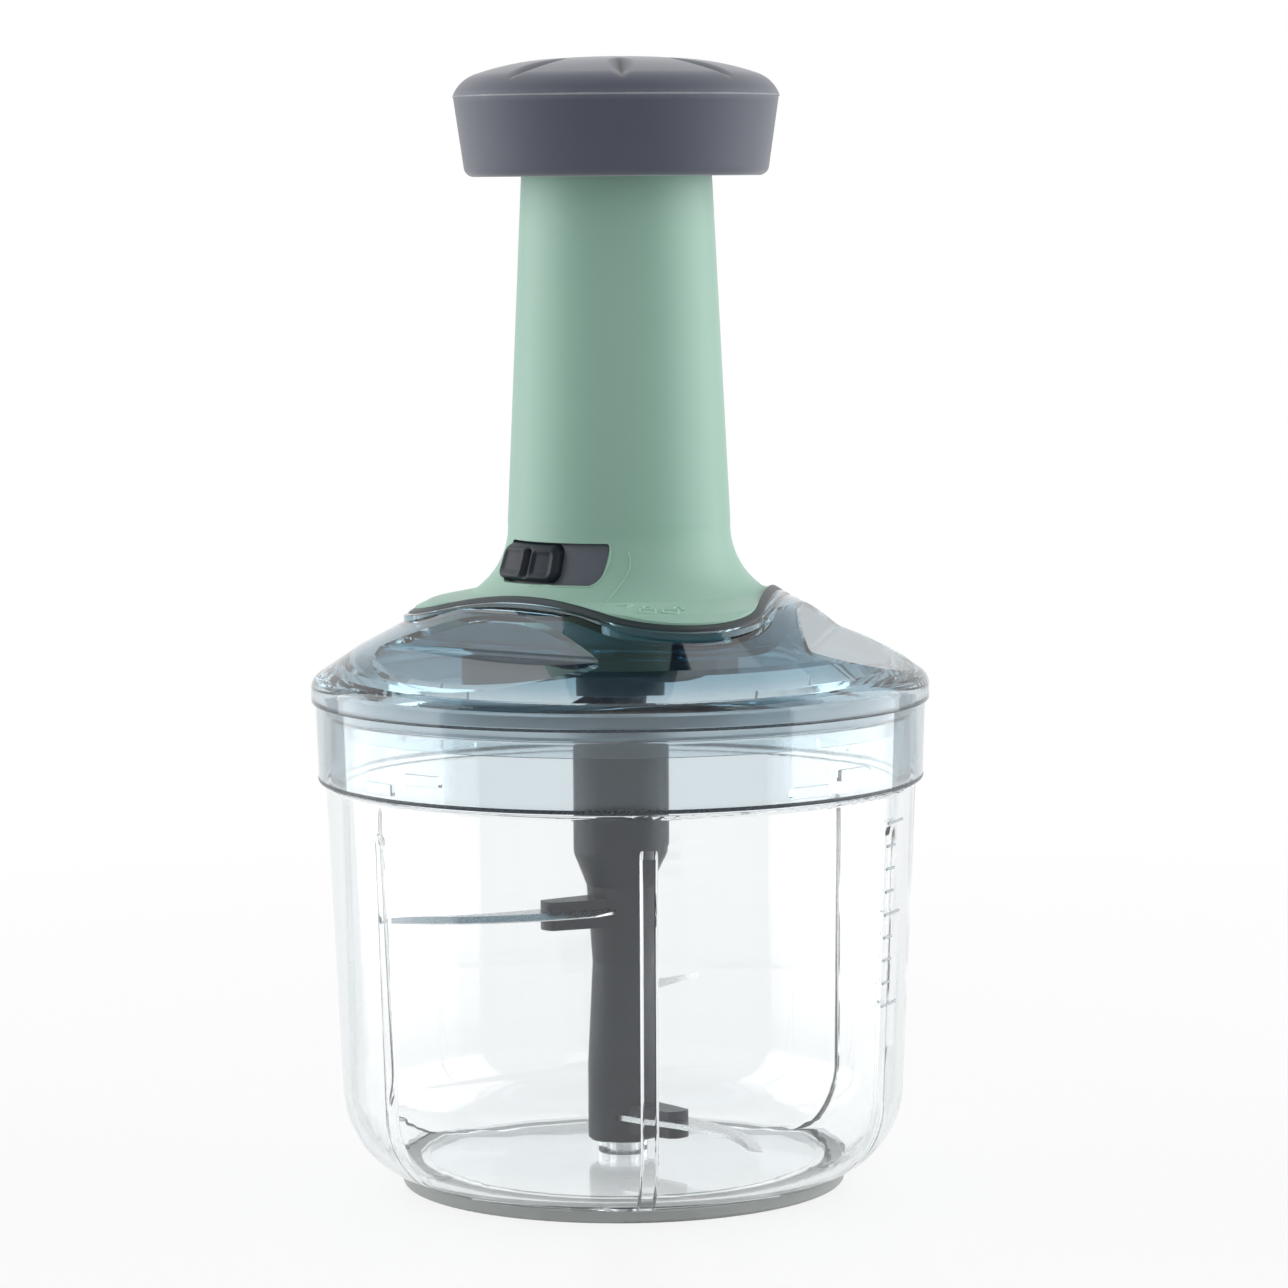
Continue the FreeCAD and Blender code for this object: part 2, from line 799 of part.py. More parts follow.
def make_hub():
    core = revolve("hub_core", [
        (mm.bush_radius, hub_bottom),
        (mm.hub_low_radius, hub_bottom),
        (mm.hub_low_radius, blade_height(0) + mm.blade_pitch / 2),
        (mm.hub_waist_radius, blade_height(1) + mm.blade_pitch / 2),
        (mm.hub_low_radius, blade_height(2) + mm.blade_pitch / 4),
        (mm.hub_head_radius, mm.hub_head_height),
        (mm.hub_head_radius, mm.hub_top_height),
        (socket_radius, mm.hub_top_height),
        (socket_radius, socket_bottom),
        (0, socket_bottom),
        (0, bush_high),
        (mm.bush_radius, bush_high),
    ], rounds=[
        (mm.hub_low_radius, hub_bottom, mm.arm_thickness / 2),
        (mm.hub_head_radius, mm.hub_top_height, mm.socket_wall / 4),
        (mm.hub_head_radius, mm.hub_head_height, mm.arm_thickness),
    ])
    arms = [make_arm(number) for number in range(BLADE_COUNT)]
    ribs = turned_copies("socket_rib", make_socket_rib, FIN_COUNT, HALF_TURN / FIN_COUNT)
    solid = fuse("hub_solid", [core] + arms + ribs)
    slots = [make_blade_slot(number) for number in range(BLADE_COUNT)]
    return cut("blade_hub", solid, slots)


def make_arm(number):
    """The arm that carries a blade: a tapered plate with a web below it."""
    low = blade_height(number) - mm.arm_thickness
    label = "blade_arm_%d" % number
    body = doc.addObject("PartDesign::Body", label)
    inner = mm.hub_waist_radius - mm.arm_thickness / 2
    half = mm.arm_width / 2
    tip_half = mm.arm_tip_width / 2
    high = blade_height(number) + mm.blade_thickness + mm.arm_cover
    sketch = draw(body, label + "_outline", "XY_Plane", [
        (inner, -half),
        (mm.arm_reach, -tip_half, half),
        (mm.arm_reach, tip_half),
        (inner, half),
    ], low)
    pad = body.newObject("PartDesign::Pad", label + "_pad")
    pad.Profile = sketch
    bind(pad, "Length", as_size(high) - low)
    doc.recompute()
    turn = blade_bearing(number) - QUARTER_TURN
    body.Placement.Rotation = Rotation(Vector(0, 0, 1), turn.value)
    bind(body, ".Placement.Rotation.Angle", turn)
    return body


def make_blade_slot(number):
    """The slot in the hub and its arm that the blade's root fills."""
    low = blade_height(number)
    return block("blade_slot_%d" % number,
                 (mm.hub_low_radius - mm.blade_seat_depth, mm.blade_reach),
                 (-mm.blade_width, mm.blade_width),
                 (low, low + mm.blade_thickness),
                 blade_bearing(number))


def make_socket_rib(label, bearing):
    return block(label, (socket_radius - mm.socket_rib_height, socket_radius + mm.socket_wall / 2),
                 (-mm.socket_rib_width / 2, mm.socket_rib_width / 2),
                 (socket_bottom - mm.socket_wall / 2, mm.hub_top_height - mm.socket_wall), bearing)


blade_hub = keep(make_hub())

# Lid

collar_outline = lobed_outline(mm.foot_waist, mm.lobe_radius, mm.collar_gap + mm.collar_wall)
well_outline = lobed_outline(mm.foot_waist, mm.lobe_radius, mm.collar_gap)
foot_outline = lobed_outline(mm.foot_waist, mm.lobe_radius, 0)
foot_reach = (mm.foot_waist - mm.lobe_radius) * 2 + mm.lobe_radius
well_top = mm.column_top_height
lid_under = mm.well_floor_height - mm.well_floor_thickness
lid_rib_radius = bowl_inner_top - mm.plug_gap


def dome_line(radius):
    """The height of the dome's outer face between its rise and its bend."""
    run = mm.dome_bend_radius - mm.dome_rise_radius
    fall = mm.dome_rise_height - mm.dome_bend_height
    return mm.dome_rise_height - (as_size(radius) - mm.dome_rise_radius) * fall / run


def make_dome():
    """The domed cover, its plug inside the bowl's mouth and its skirt over the neck."""
    return revolve("dome", [
        (0, mm.dome_top_height + mm.dome_crown),
        (0, mm.dome_top_height - mm.dome_drop),
        (mm.dome_top_radius - mm.dome_inset, mm.dome_top_height - mm.dome_drop),
        (mm.dome_rise_radius - mm.dome_inset, mm.dome_rise_height - mm.dome_drop),
        (mm.dome_bend_radius - mm.dome_inset, mm.dome_bend_height - mm.dome_drop),
        (mm.plug_inner_radius, mm.lid_shoulder_height),
        (mm.plug_inner_radius, mm.plug_bottom_height),
        (lid_rib_radius, mm.plug_bottom_height),
        (lid_rib_radius, mm.seal_seat_height),
        (mm.skirt_inner_radius, mm.seal_seat_height),
        (mm.skirt_inner_radius, mm.skirt_bottom_height),
        (mm.skirt_low_radius, mm.skirt_bottom_height),
        (mm.skirt_top_radius, mm.lid_edge_height),
        (mm.lid_radius, mm.lid_edge_height),
        (mm.lid_radius, mm.lid_shoulder_height),
        (mm.dome_bend_radius, mm.dome_bend_height),
        (mm.dome_rise_radius, mm.dome_rise_height),
        (mm.dome_top_radius, mm.dome_top_height),
    ], rounds=[(mm.lid_radius, mm.lid_shoulder_height, mm.lid_shoulder_round)])


def make_dome_block():
    """The whole space under the dome's outer face, which bounds what is added inside it."""
    brim = mm.dome_bend_radius + mm.lid_wall * 2
    return revolve("dome_block", [
        (0, mm.lid_edge_height),
        (brim, mm.lid_edge_height),
        (brim, dome_line(brim) - mm.lid_wall / 2),
        (mm.dome_bend_radius, mm.dome_bend_height),
        (mm.dome_rise_radius, mm.dome_rise_height),
        (mm.dome_top_radius, mm.dome_top_height),
        (0, mm.dome_top_height),
    ])


def make_scoop(label, bearing, sunk):
    """The V notch of a finger scoop, running straight across the dome; sunk moves it into the wall."""
    body = doc.addObject("PartDesign::Body", label)
    crease = mm.scoop_crease_radius - sunk / 2
    crease_height = mm.scoop_crease_height - sunk
    wall_run = ((mm.column_top_height - crease_height)
                * cosine(mm.scoop_wall_slope) / sine(mm.scoop_wall_slope))
    floor_run = mm.lid_radius
    floor_fall = floor_run * sine(mm.scoop_floor_slope) / cosine(mm.scoop_floor_slope)
    sketch = draw(body, label + "_profile", "XZ_Plane", [
        (crease, crease_height),
        (crease + floor_run, crease_height - floor_fall),
        (crease + floor_run, mm.column_top_height),
        (crease - wall_run, mm.column_top_height),
    ])
    pad = body.newObject("PartDesign::Pad", label + "_pad")
    pad.Profile = sketch
    pad.SideType = "Symmetric"
    bind(pad, "Length", mm.lid_radius * 2)
    doc.recompute()
    round_edges(body, label + "_round", straight_edges(body.Shape, crease, crease_height), mm.scoop_round)
    turn = as_size(bearing) - QUARTER_TURN
    body.Placement.Rotation = Rotation(Vector(0, 0, 1), turn.value)
    bind(body, ".Placement.Rotation.Angle", turn)
    return body


def straight_edges(shape, across, height):
    """The names of the straight edges along Y at a distance along X and a height."""
    across = as_size(across).value
    height = as_size(height).value
    names = []
    for number, edge in enumerate(shape.Edges, start=1):
        middle = edge.BoundBox.Center
        if abs(middle.x - across) < TOUCH and abs(middle.z - height) < TOUCH:
            names.append("Edge%d" % number)
    return names


def scoop_bearing(number):
    return mm.lobe_bearing + HALF_TURN / LOBE_COUNT + number * FULL_TURN / LOBE_COUNT


def make_lid():
    dome = make_dome()
    dome_block = make_dome_block()
    backs = fuse("scoop_backs", [make_scoop("scoop_back_%d" % number, scoop_bearing(number), mm.lid_wall)
                                 for number in range(LOBE_COUNT)])
    backing = common("scoop_backing", [backs, dome_block])
    collar_prism = prism("collar_prism", collar_outline, lid_under, well_top)
    collar_slope = (mm.collar_high - mm.collar_low) / (foot_reach - mm.foot_waist)
    far = mm.lid_radius
    collar_cone = revolve("collar_cone", [
        (0, lid_under),
        (far, lid_under),
        (far, mm.collar_high - collar_slope * (far - mm.foot_waist)),
        (0, mm.collar_high + collar_slope * mm.foot_waist),
    ])
    collar = common("collar", [collar_prism, collar_cone])
    solid = fuse("lid_solid", [dome, backing, collar])
    notches = [make_scoop("scoop_%d" % number, scoop_bearing(number), as_size(0))
               for number in range(LOBE_COUNT)]
    well = prism("lid_well", well_outline, mm.well_floor_height, well_top)
    bore = cylinder("lid_bore", mm.journal_radius + mm.running_gap,
                    lid_under - PAST, mm.well_floor_height + PAST)
    holes = screw_holes("lid_screw_hole", mm.housing_screw_circle,
                        lid_under - PAST, mm.well_floor_height + PAST)
    shell = cut("lid_shell", solid, notches + [well, bore] + holes)
    lugs = lug_ring("lid_lug", mm.skirt_inner_radius - mm.lug_reach,
                    mm.skirt_inner_radius + (mm.skirt_low_radius - mm.skirt_inner_radius) / 2,
                    mm.lid_lug_height, mm.lid_lug_height + mm.lug_thickness, mm.lug_bearing - mm.lock_turn)
    return fuse("lid", [shell, lugs])


def screw_places(circle, first):
    return [polar(circle, as_size(first) + number * FULL_TURN / LOBE_COUNT) for number in range(LOBE_COUNT)]


def screw_holes(label, circle, low, high):
    radius = mm.screw_radius + mm.running_gap
    return [cylinder("%s_%d" % (label, number), radius, low, high, place[0], place[1])
            for number, place in enumerate(screw_places(circle, mm.lobe_bearing))]


lid = keep(make_lid())

seal_bottom = mm.rim_height + mm.seal_gap
seal_top = mm.seal_seat_height - mm.seal_gap
seal_inner = lid_rib_radius + mm.seal_gap
seal_outer = mm.skirt_inner_radius - mm.seal_gap
lid_seal = keep(revolve("lid_seal", [
    (seal_inner, seal_bottom + mm.seal_gap),
    (mm.neck_radius, seal_bottom),
    (seal_outer, seal_bottom + mm.seal_gap * 2),
    (seal_outer - mm.seal_gap * 2, (seal_bottom + seal_top) / 2),
    (seal_outer, seal_top - mm.seal_gap),
    (seal_outer - mm.seal_gap, seal_top),
    (seal_inner, seal_top),
]))

# Column

cavity_low = mm.well_floor_height + mm.gasket_thickness
bush_seat = mm.column_top_height - mm.bush_length
bush_outer = mm.column_top_radius - mm.column_lip
retainer_top = mm.ring_low - mm.seal_gap
retainer_bottom = retainer_top - mm.retainer_thickness


def make_column():
    """A tapered tube that flares into a lobed foot."""
    outside = revolve("column_outside", [
        (0, cavity_low),
        (foot_reach + mm.collar_wall, cavity_low),
        (foot_reach + mm.collar_wall, mm.lobe_edge_height),
        (mm.lobe_top_radius, mm.lobe_top_height),
        (mm.flare_radius, mm.flare_height, -mm.flare_round),
        (mm.column_low_radius, mm.column_low_height),
        (mm.column_top_radius, mm.column_top_height),
        (0, mm.column_top_height),
    ], rounds=[(mm.lobe_top_radius, mm.lobe_top_height, mm.lobe_edge_round)])
    foot = prism("foot_prism", foot_outline, cavity_low, mm.column_top_height)
    solid = common("column_solid", [outside, foot])
    cavity = revolve("column_cavity", [
        (0, cavity_low - PAST),
        (mm.cavity_radius, cavity_low - PAST),
        (mm.cavity_radius, retainer_top),
        (mm.ring_low_radius + mm.button_gap, mm.ring_low),
        (mm.ring_high_radius + mm.button_gap, mm.ring_high),
        (mm.ring_high_radius, mm.ring_high + mm.button_gap),
        (bush_outer, bush_seat),
        (bush_outer, mm.column_top_height + PAST),
        (0, mm.column_top_height + PAST),
    ])
    window = window_prism("column_window", mm.window_width / 2,
                          mm.window_low, mm.window_high, mm.window_round)
    holes = screw_holes("column_screw_hole", mm.housing_screw_circle, cavity_low - PAST,
                        cavity_low + mm.housing_screw_length / 3)
    return cut("column", solid, [cavity, window] + holes)


def window_prism(label, half, low, high, rounding):
    """The lock's window: a rounded slot pushed inwards along one bearing."""
    body = doc.addObject("PartDesign::Body", label)
    small = rounding / 3
    sketch = draw(body, label + "_outline", "YZ_Plane", [
        (-half + rounding, low),
        (half - rounding, low, rounding),
        (half, low + rounding),
        (half, high - small, small),
        (half - small, high),
        (-half + small, high, small),
        (-half, high - small),
        (-half, low + rounding, rounding),
    ])
    pad = body.newObject("PartDesign::Pad", label + "_pad")
    pad.Profile = sketch
    bind(pad, "Length", foot_reach)
    doc.recompute()
    turn = mm.window_bearing - QUARTER_TURN
    body.Placement.Rotation = Rotation(Vector(0, 0, 1), turn.value)
    bind(body, ".Placement.Rotation.Angle", turn)
    return body


column = keep(make_column())

guide_bush = keep(revolve("guide_bush", [
    (mm.tube_radius + mm.bush_running_gap, bush_seat),
    (bush_outer, bush_seat),
    (bush_outer, mm.column_top_height),
    (mm.column_top_radius, mm.column_top_height),
    (mm.column_top_radius, mm.column_top_height + mm.gasket_thickness),
    (mm.tube_radius + mm.bush_running_gap, mm.column_top_height + mm.gasket_thickness),
]))


def make_gasket():
    sheet_prism = prism("gasket_prism", foot_outline, mm.well_floor_height, cavity_low)
    opening = cylinder("gasket_opening", mm.cavity_radius - mm.gasket_thickness * 2,
                       mm.well_floor_height - PAST, cavity_low + PAST)
    holes = screw_holes("gasket_screw_hole", mm.housing_screw_circle,
                        mm.well_floor_height - PAST, cavity_low + PAST)
    return cut("column_gasket", sheet_prism, [opening] + holes)


column_gasket = keep(make_gasket())

lock_retainer = keep(tube("lock_retainer", mm.cavity_radius, mm.tube_radius + mm.notch_gap,
                          retainer_bottom, retainer_top))

# Lock slider

tab_low = mm.tab_height
tab_high = mm.tab_height + mm.tab_thickness
tab_rest = mm.leg_bearing - mm.leg_angle / 2 - mm.tab_rest_turn - mm.tab_angle / 2


def sector(label, inner, outer, low, high, from_bearing, to_bearing):
    """A piece of a ring between two bearings."""
    corners = [polar(inner, from_bearing), polar(outer, from_bearing) + (outer,),
               polar(outer, to_bearing), polar(inner, to_bearing) + (-as_size(inner),)]
    return prism(label, corners, low, high)


def cone_shell(label, inner, outer):
    """A conical ring along the slider: inner and outer are distances from the ring's outer face."""
    return revolve(label, [
        (mm.ring_low_radius + inner, mm.ring_low),
        (mm.ring_low_radius + outer, mm.ring_low),
        (mm.ring_high_radius + outer, mm.ring_high),
        (mm.ring_high_radius + inner, mm.ring_high),
    ])


def make_lock_ring():
    band = cone_shell("lock_band", -mm.ring_thickness, as_size(0))
    tab_root = mm.ring_low_radius - mm.ring_thickness
    tabs = [sector("lock_tab_%d" % number, mm.tab_reach, tab_root,
                   tab_low, tab_high, tab_rest + number * HALF_TURN - mm.tab_angle / 2,
                   tab_rest + number * HALF_TURN + mm.tab_angle / 2) for number in range(LEG_COUNT)]
    return fuse("lock_ring", [band] + tabs)


lock_ring = keep(make_lock_ring())


def button_slab(label, inset, inner, outer):
    """The part of a conical skin that the window shows at both ends of the slider's travel."""
    half = mm.window_width / 2 - inset
    rounding = mm.window_round - inset
    ends = [window_prism("%s_end_%d" % (label, number), half, mm.window_low + inset,
                         mm.window_high - inset, rounding) for number in range(2)]
    turn = mm.window_bearing - mm.lock_travel - QUARTER_TURN
    ends[1].Placement.Rotation = Rotation(Vector(0, 0, 1), turn.value)
    bind(ends[1], ".Placement.Rotation.Angle", turn)
    return common(label, ends + [cone_shell(label + "_skin", inner, outer)])


def make_button():
    """The thumb button: a raised rim round a pocket, with a hollow across it for the thumb."""
    blank = button_slab("button_blank", mm.button_gap, as_size(0), mm.button_height)
    rim_inset = mm.button_gap + mm.button_rim
    pocket = button_slab("button_pocket", rim_inset, mm.button_height - mm.button_pocket,
                         mm.button_height + mm.button_pocket)
    bearing = mm.window_bearing - mm.thumb_turn
    face = (mm.ring_low_radius + mm.ring_high_radius) / 2 + mm.button_height
    place = polar(face + mm.thumb_radius - mm.thumb_depth, bearing)
    hollow = cylinder("thumb_hollow", mm.thumb_radius, mm.window_low + rim_inset, mm.window_high - rim_inset,
                      place[0], place[1])
    return cut("lock_button", blank, [pocket, hollow])


lock_button = keep(make_button())

# Plunger

tube_inner = mm.tube_radius - mm.tube_wall
tube_top = mm.knob_seam_height - mm.flange_thickness
leg_high = mm.tube_low + mm.tube_wall


def make_plunger_tube():
    """The sliding tube: a flange under the knob and two hooked legs at its foot."""
    barrel = revolve("tube_barrel", [
        (tube_inner, mm.tube_low),
        (mm.tube_radius, mm.tube_low),
        (mm.tube_radius, tube_top),
        (mm.flange_radius, tube_top),
        (mm.flange_radius, mm.knob_seam_height),
        (tube_inner, mm.knob_seam_height),
    ])
    legs = [sector("tube_leg_%d" % number, tube_inner, mm.tube_radius, mm.leg_low, leg_high,
                   mm.leg_bearing + number * HALF_TURN - mm.leg_angle / 2,
                   mm.leg_bearing + number * HALF_TURN + mm.leg_angle / 2) for number in range(LEG_COUNT)]
    notch_end = tab_rest + mm.lock_travel + mm.tab_angle / 2 + mm.tab_rest_turn
    notches = [sector("leg_notch_%d" % number, tube_inner - PAST, mm.tube_radius + PAST,
                      tab_low - mm.notch_gap, tab_high + mm.notch_gap,
                      mm.leg_bearing + number * HALF_TURN - mm.leg_angle / 2 - mm.tab_rest_turn,
                      notch_end + number * HALF_TURN) for number in range(LEG_COUNT)]
    holes = knob_screw_holes("flange_hole", tube_top - PAST, mm.knob_seam_height + PAST)
    return cut("plunger_tube", fuse("tube_solid", [barrel] + legs), notches + holes)


def knob_screw_holes(label, low, high):
    radius = mm.screw_radius + mm.running_gap
    return [cylinder("%s_%d" % (label, number), radius, low, high, place[0], place[1])
            for number, place in enumerate(screw_places(mm.knob_screw_circle, 0))]


plunger_tube = keep(make_plunger_tube())

TWIST_STEPS = 32
SQUARE = ((1, 1), (-1, 1), (-1, -1), (1, -1))
CROSS = ((0, 1), (-1, 0), (0, -1), (1, 0))
twist_step = mm.spindle_lead.value / TWIST_STEPS


def twisted_square(width, low, high):
    """A square bar that turns evenly as it rises: one turn in each lead."""
    count = round((high - low) / mm.spindle_lead.value * TWIST_STEPS)
    rings = [twisted_ring(SQUARE, width, low + (high - low) * step / count) for step in range(count + 1)]
    middles = [twisted_ring(CROSS, width, low + (high - low) * (step + 0.5) / count)
               for step in range(count)]
    faces = [flat_face(rings[0]), flat_face(rings[-1])]
    for below, middle, above in zip(rings, middles, rings[1:]):
        for side in range(len(SQUARE)):
            ahead = (side + 1) % len(SQUARE)
            patch = [below[side], below[ahead], above[ahead], above[side]]
            for corner, following in zip(patch, patch[1:] + patch[:1]):
                faces.append(flat_face([corner, following, middle[side]]))
    return Part.makeSolid(Part.makeShell(faces))


def twisted_ring(outline, width, height):
    """The points of an outline, turned as far as the twist has come at a height."""
    spin = Rotation(Vector(0, 0, 1), FULL_TURN * height / mm.spindle_lead.value)
    return [spin.multVec(Vector(x * width / 2, y * width / 2, height)) for x, y in outline]


def flat_face(corners):
    return Part.Face(Part.makePolygon(corners + [corners[0]]))


def solid_feature(label, shape):
    item = doc.addObject("Part::Feature", label)
    item.Label = label
    item.Shape = shape
    return item


nut_low = mm.tube_low
nut_high = mm.tube_low + mm.nut_length


def make_nut():
    blank = cylinder("nut_blank", tube_inner, nut_low, nut_high)
    bore_width = mm.spindle_width + mm.nut_clearance * 2
    bore = solid_feature("nut_bore", twisted_square(
        bore_width.value, nut_low.value - twist_step, nut_high.value + twist_step))
    return cut("drive_nut", blank, [bore])


drive_nut = keep(make_nut())

# Knob

knob_mouth = mm.column_top_radius + mm.knob_mouth_gap
knob_inner_top = mm.knob_radius - mm.knob_wall
knob_inner_low = mm.knob_low_radius - mm.knob_wall
knob_floor = mm.knob_bottom_height + mm.knob_wall
plateau_height = mm.knob_top_height - mm.knob_plateau_fall

knob_body = keep(revolve("knob_body", [
    (knob_mouth, mm.knob_bottom_height),
    (mm.knob_low_radius, mm.knob_bottom_height),
    (mm.knob_radius, mm.knob_seam_height),
    (knob_inner_top, mm.knob_seam_height),
    (knob_inner_low, knob_floor),
    (knob_mouth, knob_floor),
], rounds=[(mm.knob_low_radius, mm.knob_bottom_height, mm.knob_low_round)]))


def make_knob_cover():
    """The domed top: six grooves above, and blind holes for the screws below."""
    plateau_arc = (mm.knob_plateau_radius * mm.knob_plateau_radius / mm.knob_plateau_fall
                   + mm.knob_plateau_fall) / 2
    dome = revolve("cover_dome", [
        (0, mm.knob_top_height, -plateau_arc),
        (mm.knob_plateau_radius, plateau_height, -mm.knob_shoulder_arc),
        (mm.knob_brow_radius, mm.knob_brow_height, -mm.knob_brow_arc),
        (mm.knob_radius, mm.knob_seam_height + mm.knob_band),
        (mm.knob_radius, mm.knob_seam_height),
        (0, mm.knob_seam_height),
    ])
    grooves = turned_copies("knob_groove", make_groove, GROOVE_COUNT)
    holes = knob_screw_holes("cover_hole", mm.knob_seam_height - PAST,
                             mm.knob_seam_height + mm.knob_screw_length - mm.flange_thickness)
    return cut("knob_cover", dome, grooves + holes)


def make_groove(label, bearing):
    """One groove as a V-edged wheel would cut it: deepest at its middle and running out at both ends."""
    wheel = mm.knob_groove_wheel
    flank = mm.knob_groove_width
    shoulder = wheel - mm.knob_groove_depth * 2
    body = revolve(label, [(0, -flank), (shoulder, -flank), (wheel, 0), (shoulder, flank), (0, flank)])
    bottom = plateau_height - mm.knob_groove_depth
    along = polar(mm.knob_groove_place, bearing)
    lying = Rotation(Vector(0, 1, 0), QUARTER_TURN)
    body.Placement = Placement(Vector(along[0].value, along[1].value, (bottom + wheel).value),
                               Rotation(Vector(0, 0, 1), as_size(bearing).value) * lying)
    bind(body, ".Placement.Base.x", along[0])
    bind(body, ".Placement.Base.y", along[1])
    bind(body, ".Placement.Base.z", bottom + wheel)
    return body


knob_cover = keep(make_knob_cover())

# Drive

thrust_high = lid_under - mm.washer_thickness - mm.seal_gap
thrust_low = thrust_high - mm.thrust_thickness
driver_low = thrust_low - mm.ratchet_height
driven_high = driver_low
driven_low = driven_high - mm.ratchet_height
housing_top = lid_under
housing_bottom = housing_top - mm.housing_height
bar_low = mm.well_floor_height + mm.spring_seat_thickness / 2
bar_high = mm.tube_low + mm.nut_length + mm.stroke + mm.ratchet_height


def make_spindle():
    journal = revolve("spindle_journal", [
        (0, driver_low - mm.tooth_height),
        (mm.screw_head_radius, driver_low - mm.tooth_height),
        (mm.screw_head_radius, driver_low),
        (mm.journal_radius, driver_low),
        (mm.journal_radius, thrust_low),
        (mm.thrust_radius, thrust_low),
        (mm.thrust_radius, thrust_high),
        (mm.journal_radius, thrust_high),
        (mm.journal_radius, bar_low),
        (0, bar_low),
    ])
    bar = solid_feature("spindle_bar", twisted_square(
        mm.spindle_width.value, bar_low.value - PAST, bar_high.value))
    return fuse("spindle", [journal, bar])


spindle = keep(make_spindle())

thrust_washer = keep(tube("thrust_washer", mm.thrust_radius + mm.seal_gap,
                          mm.journal_radius + mm.running_gap,
                          lid_under - mm.washer_thickness, lid_under))


def tooth_ring(label, low):
    """Saw teeth round a face, pointing down: each deepens steadily and ends at once."""
    height = mm.tooth_height.value
    outer = mm.ratchet_outer_radius.value + PAST
    inner = mm.screw_head_radius.value / 2
    step = 2 * math.pi / TOOTH_COUNT
    teeth = []
    for number in range(TOOTH_COUNT):
        start = number * step
        rows = []
        for radius in (inner, outer):
            foot = [Vector(radius * math.cos(angle), radius * math.sin(angle), low)
                    for angle in (start, start + step)]
            rows.append(Part.makePolygon([foot[0], foot[1], foot[1] - Vector(0, 0, height), foot[0]]))
        teeth.append(Part.makeLoft(rows, True, True))
    return solid_feature(label, teeth[0].multiFuse(teeth[1:]))


def make_driver():
    """The upper half of the ratchet, fast on the spindle: its teeth point down."""
    disc = tube("driver_disc", mm.ratchet_outer_radius, mm.journal_radius, driver_low, thrust_low)
    teeth = tooth_ring("driver_teeth", driver_low.value)
    trim = tube("driver_trim", mm.ratchet_outer_radius, mm.journal_radius,
                driver_low - mm.tooth_height * 2, thrust_low)
    return common("ratchet_driver", [fuse("driver_blank", [disc, teeth]), trim])


ratchet_driver = keep(make_driver())


def make_driven():
    """The lower half of the ratchet, which carries the output coupling."""
    disc = tube("driven_disc", mm.ratchet_outer_radius, mm.screw_head_radius + mm.running_gap,
                driven_low, driven_high)
    trim_ring = tube("driven_trim", mm.ratchet_outer_radius + PAST, mm.journal_radius,
                     driven_high - mm.tooth_height * 2, driven_high + PAST)
    teeth = tooth_ring("driven_gaps", driver_low.value)
    gaps = common("driven_teeth", [teeth, trim_ring])
    return cut("ratchet_driven", disc, [gaps])


ratchet_driven = keep(make_driven())


def make_coupling():
    """The output shaft with the fins that turn the blade unit."""
    shaft = revolve("coupling_shaft", [
        (0, mm.coupling_bottom),
        (mm.coupling_radius - mm.coupling_lead, mm.coupling_bottom),
        (mm.coupling_radius, mm.coupling_bottom + mm.coupling_lead),
        (mm.coupling_radius, driven_low),
        (0, driven_low),
    ])
    fins = turned_copies("coupling_fin", make_fin, FIN_COUNT)
    return fuse("output_coupling", [shaft] + fins)


def make_fin(label, bearing):
    high = mm.hub_top_height - mm.socket_wall
    return block(label, (0, mm.fin_reach), (-mm.fin_width / 2, mm.fin_width / 2),
                 (mm.coupling_bottom + mm.coupling_lead, high), bearing)


output_coupling = keep(make_coupling())

output_bush = keep(revolve("output_bush", [
    (mm.coupling_radius + mm.running_gap, housing_bottom - mm.output_bush_wall),
    (mm.coupling_radius + mm.output_bush_wall * 2, housing_bottom - mm.output_bush_wall),
    (mm.coupling_radius + mm.output_bush_wall * 2, housing_bottom),
    (mm.coupling_radius + mm.output_bush_wall, housing_bottom),
    (mm.coupling_radius + mm.output_bush_wall, housing_bottom + mm.housing_wall),
    (mm.coupling_radius + mm.running_gap, housing_bottom + mm.housing_wall),
]))


def make_housing():
    """A lobed cup under the lid's well, with a screw boss in each lobe."""
    outline = lobed_outline(mm.housing_waist, mm.housing_lobe_radius, 0)
    inner = lobed_outline(mm.housing_waist, mm.housing_lobe_radius, -mm.housing_wall)
    outer_prism = prism("housing_prism", outline, housing_bottom, housing_top)
    hollow = prism("housing_hollow", inner, housing_bottom + mm.housing_wall, housing_top + PAST)
    bore = cylinder("housing_bore", mm.coupling_radius + mm.output_bush_wall,
                    housing_bottom - PAST, housing_bottom + mm.housing_wall + PAST)
    shell = cut("housing_shell", outer_prism, [hollow, bore])
    bosses = [cylinder("housing_boss_%d" % number, mm.screw_head_radius + mm.screw_radius,
                       housing_bottom, housing_top, place[0], place[1])
              for number, place in enumerate(screw_places(mm.housing_screw_circle, mm.lobe_bearing))]
    holes = screw_holes("housing_hole", mm.housing_screw_circle,
                        housing_bottom - PAST, housing_top + PAST)
    seats = [cylinder("housing_seat_%d" % number, mm.screw_head_radius + mm.seal_gap,
                      housing_bottom - PAST, housing_bottom + mm.screw_head_height, place[0], place[1])
             for number, place in enumerate(screw_places(mm.housing_screw_circle, mm.lobe_bearing))]
    return cut("drive_housing", fuse("housing_solid", [shell] + bosses), holes + seats)


drive_housing = keep(make_housing())


def make_screws(label, places, head_low, head_high, shank_end):
    """A set of round-headed screws, pointing up from their heads."""
    parts = []
    for number, place in enumerate(places):
        parts.append(cylinder("%s_head_%d" % (label, number), mm.screw_head_radius,
                              head_low, head_high, place[0], place[1]))
        parts.append(cylinder("%s_shank_%d" % (label, number), mm.screw_radius,
                              head_high, shank_end, place[0], place[1]))
    return fuse(label, parts)


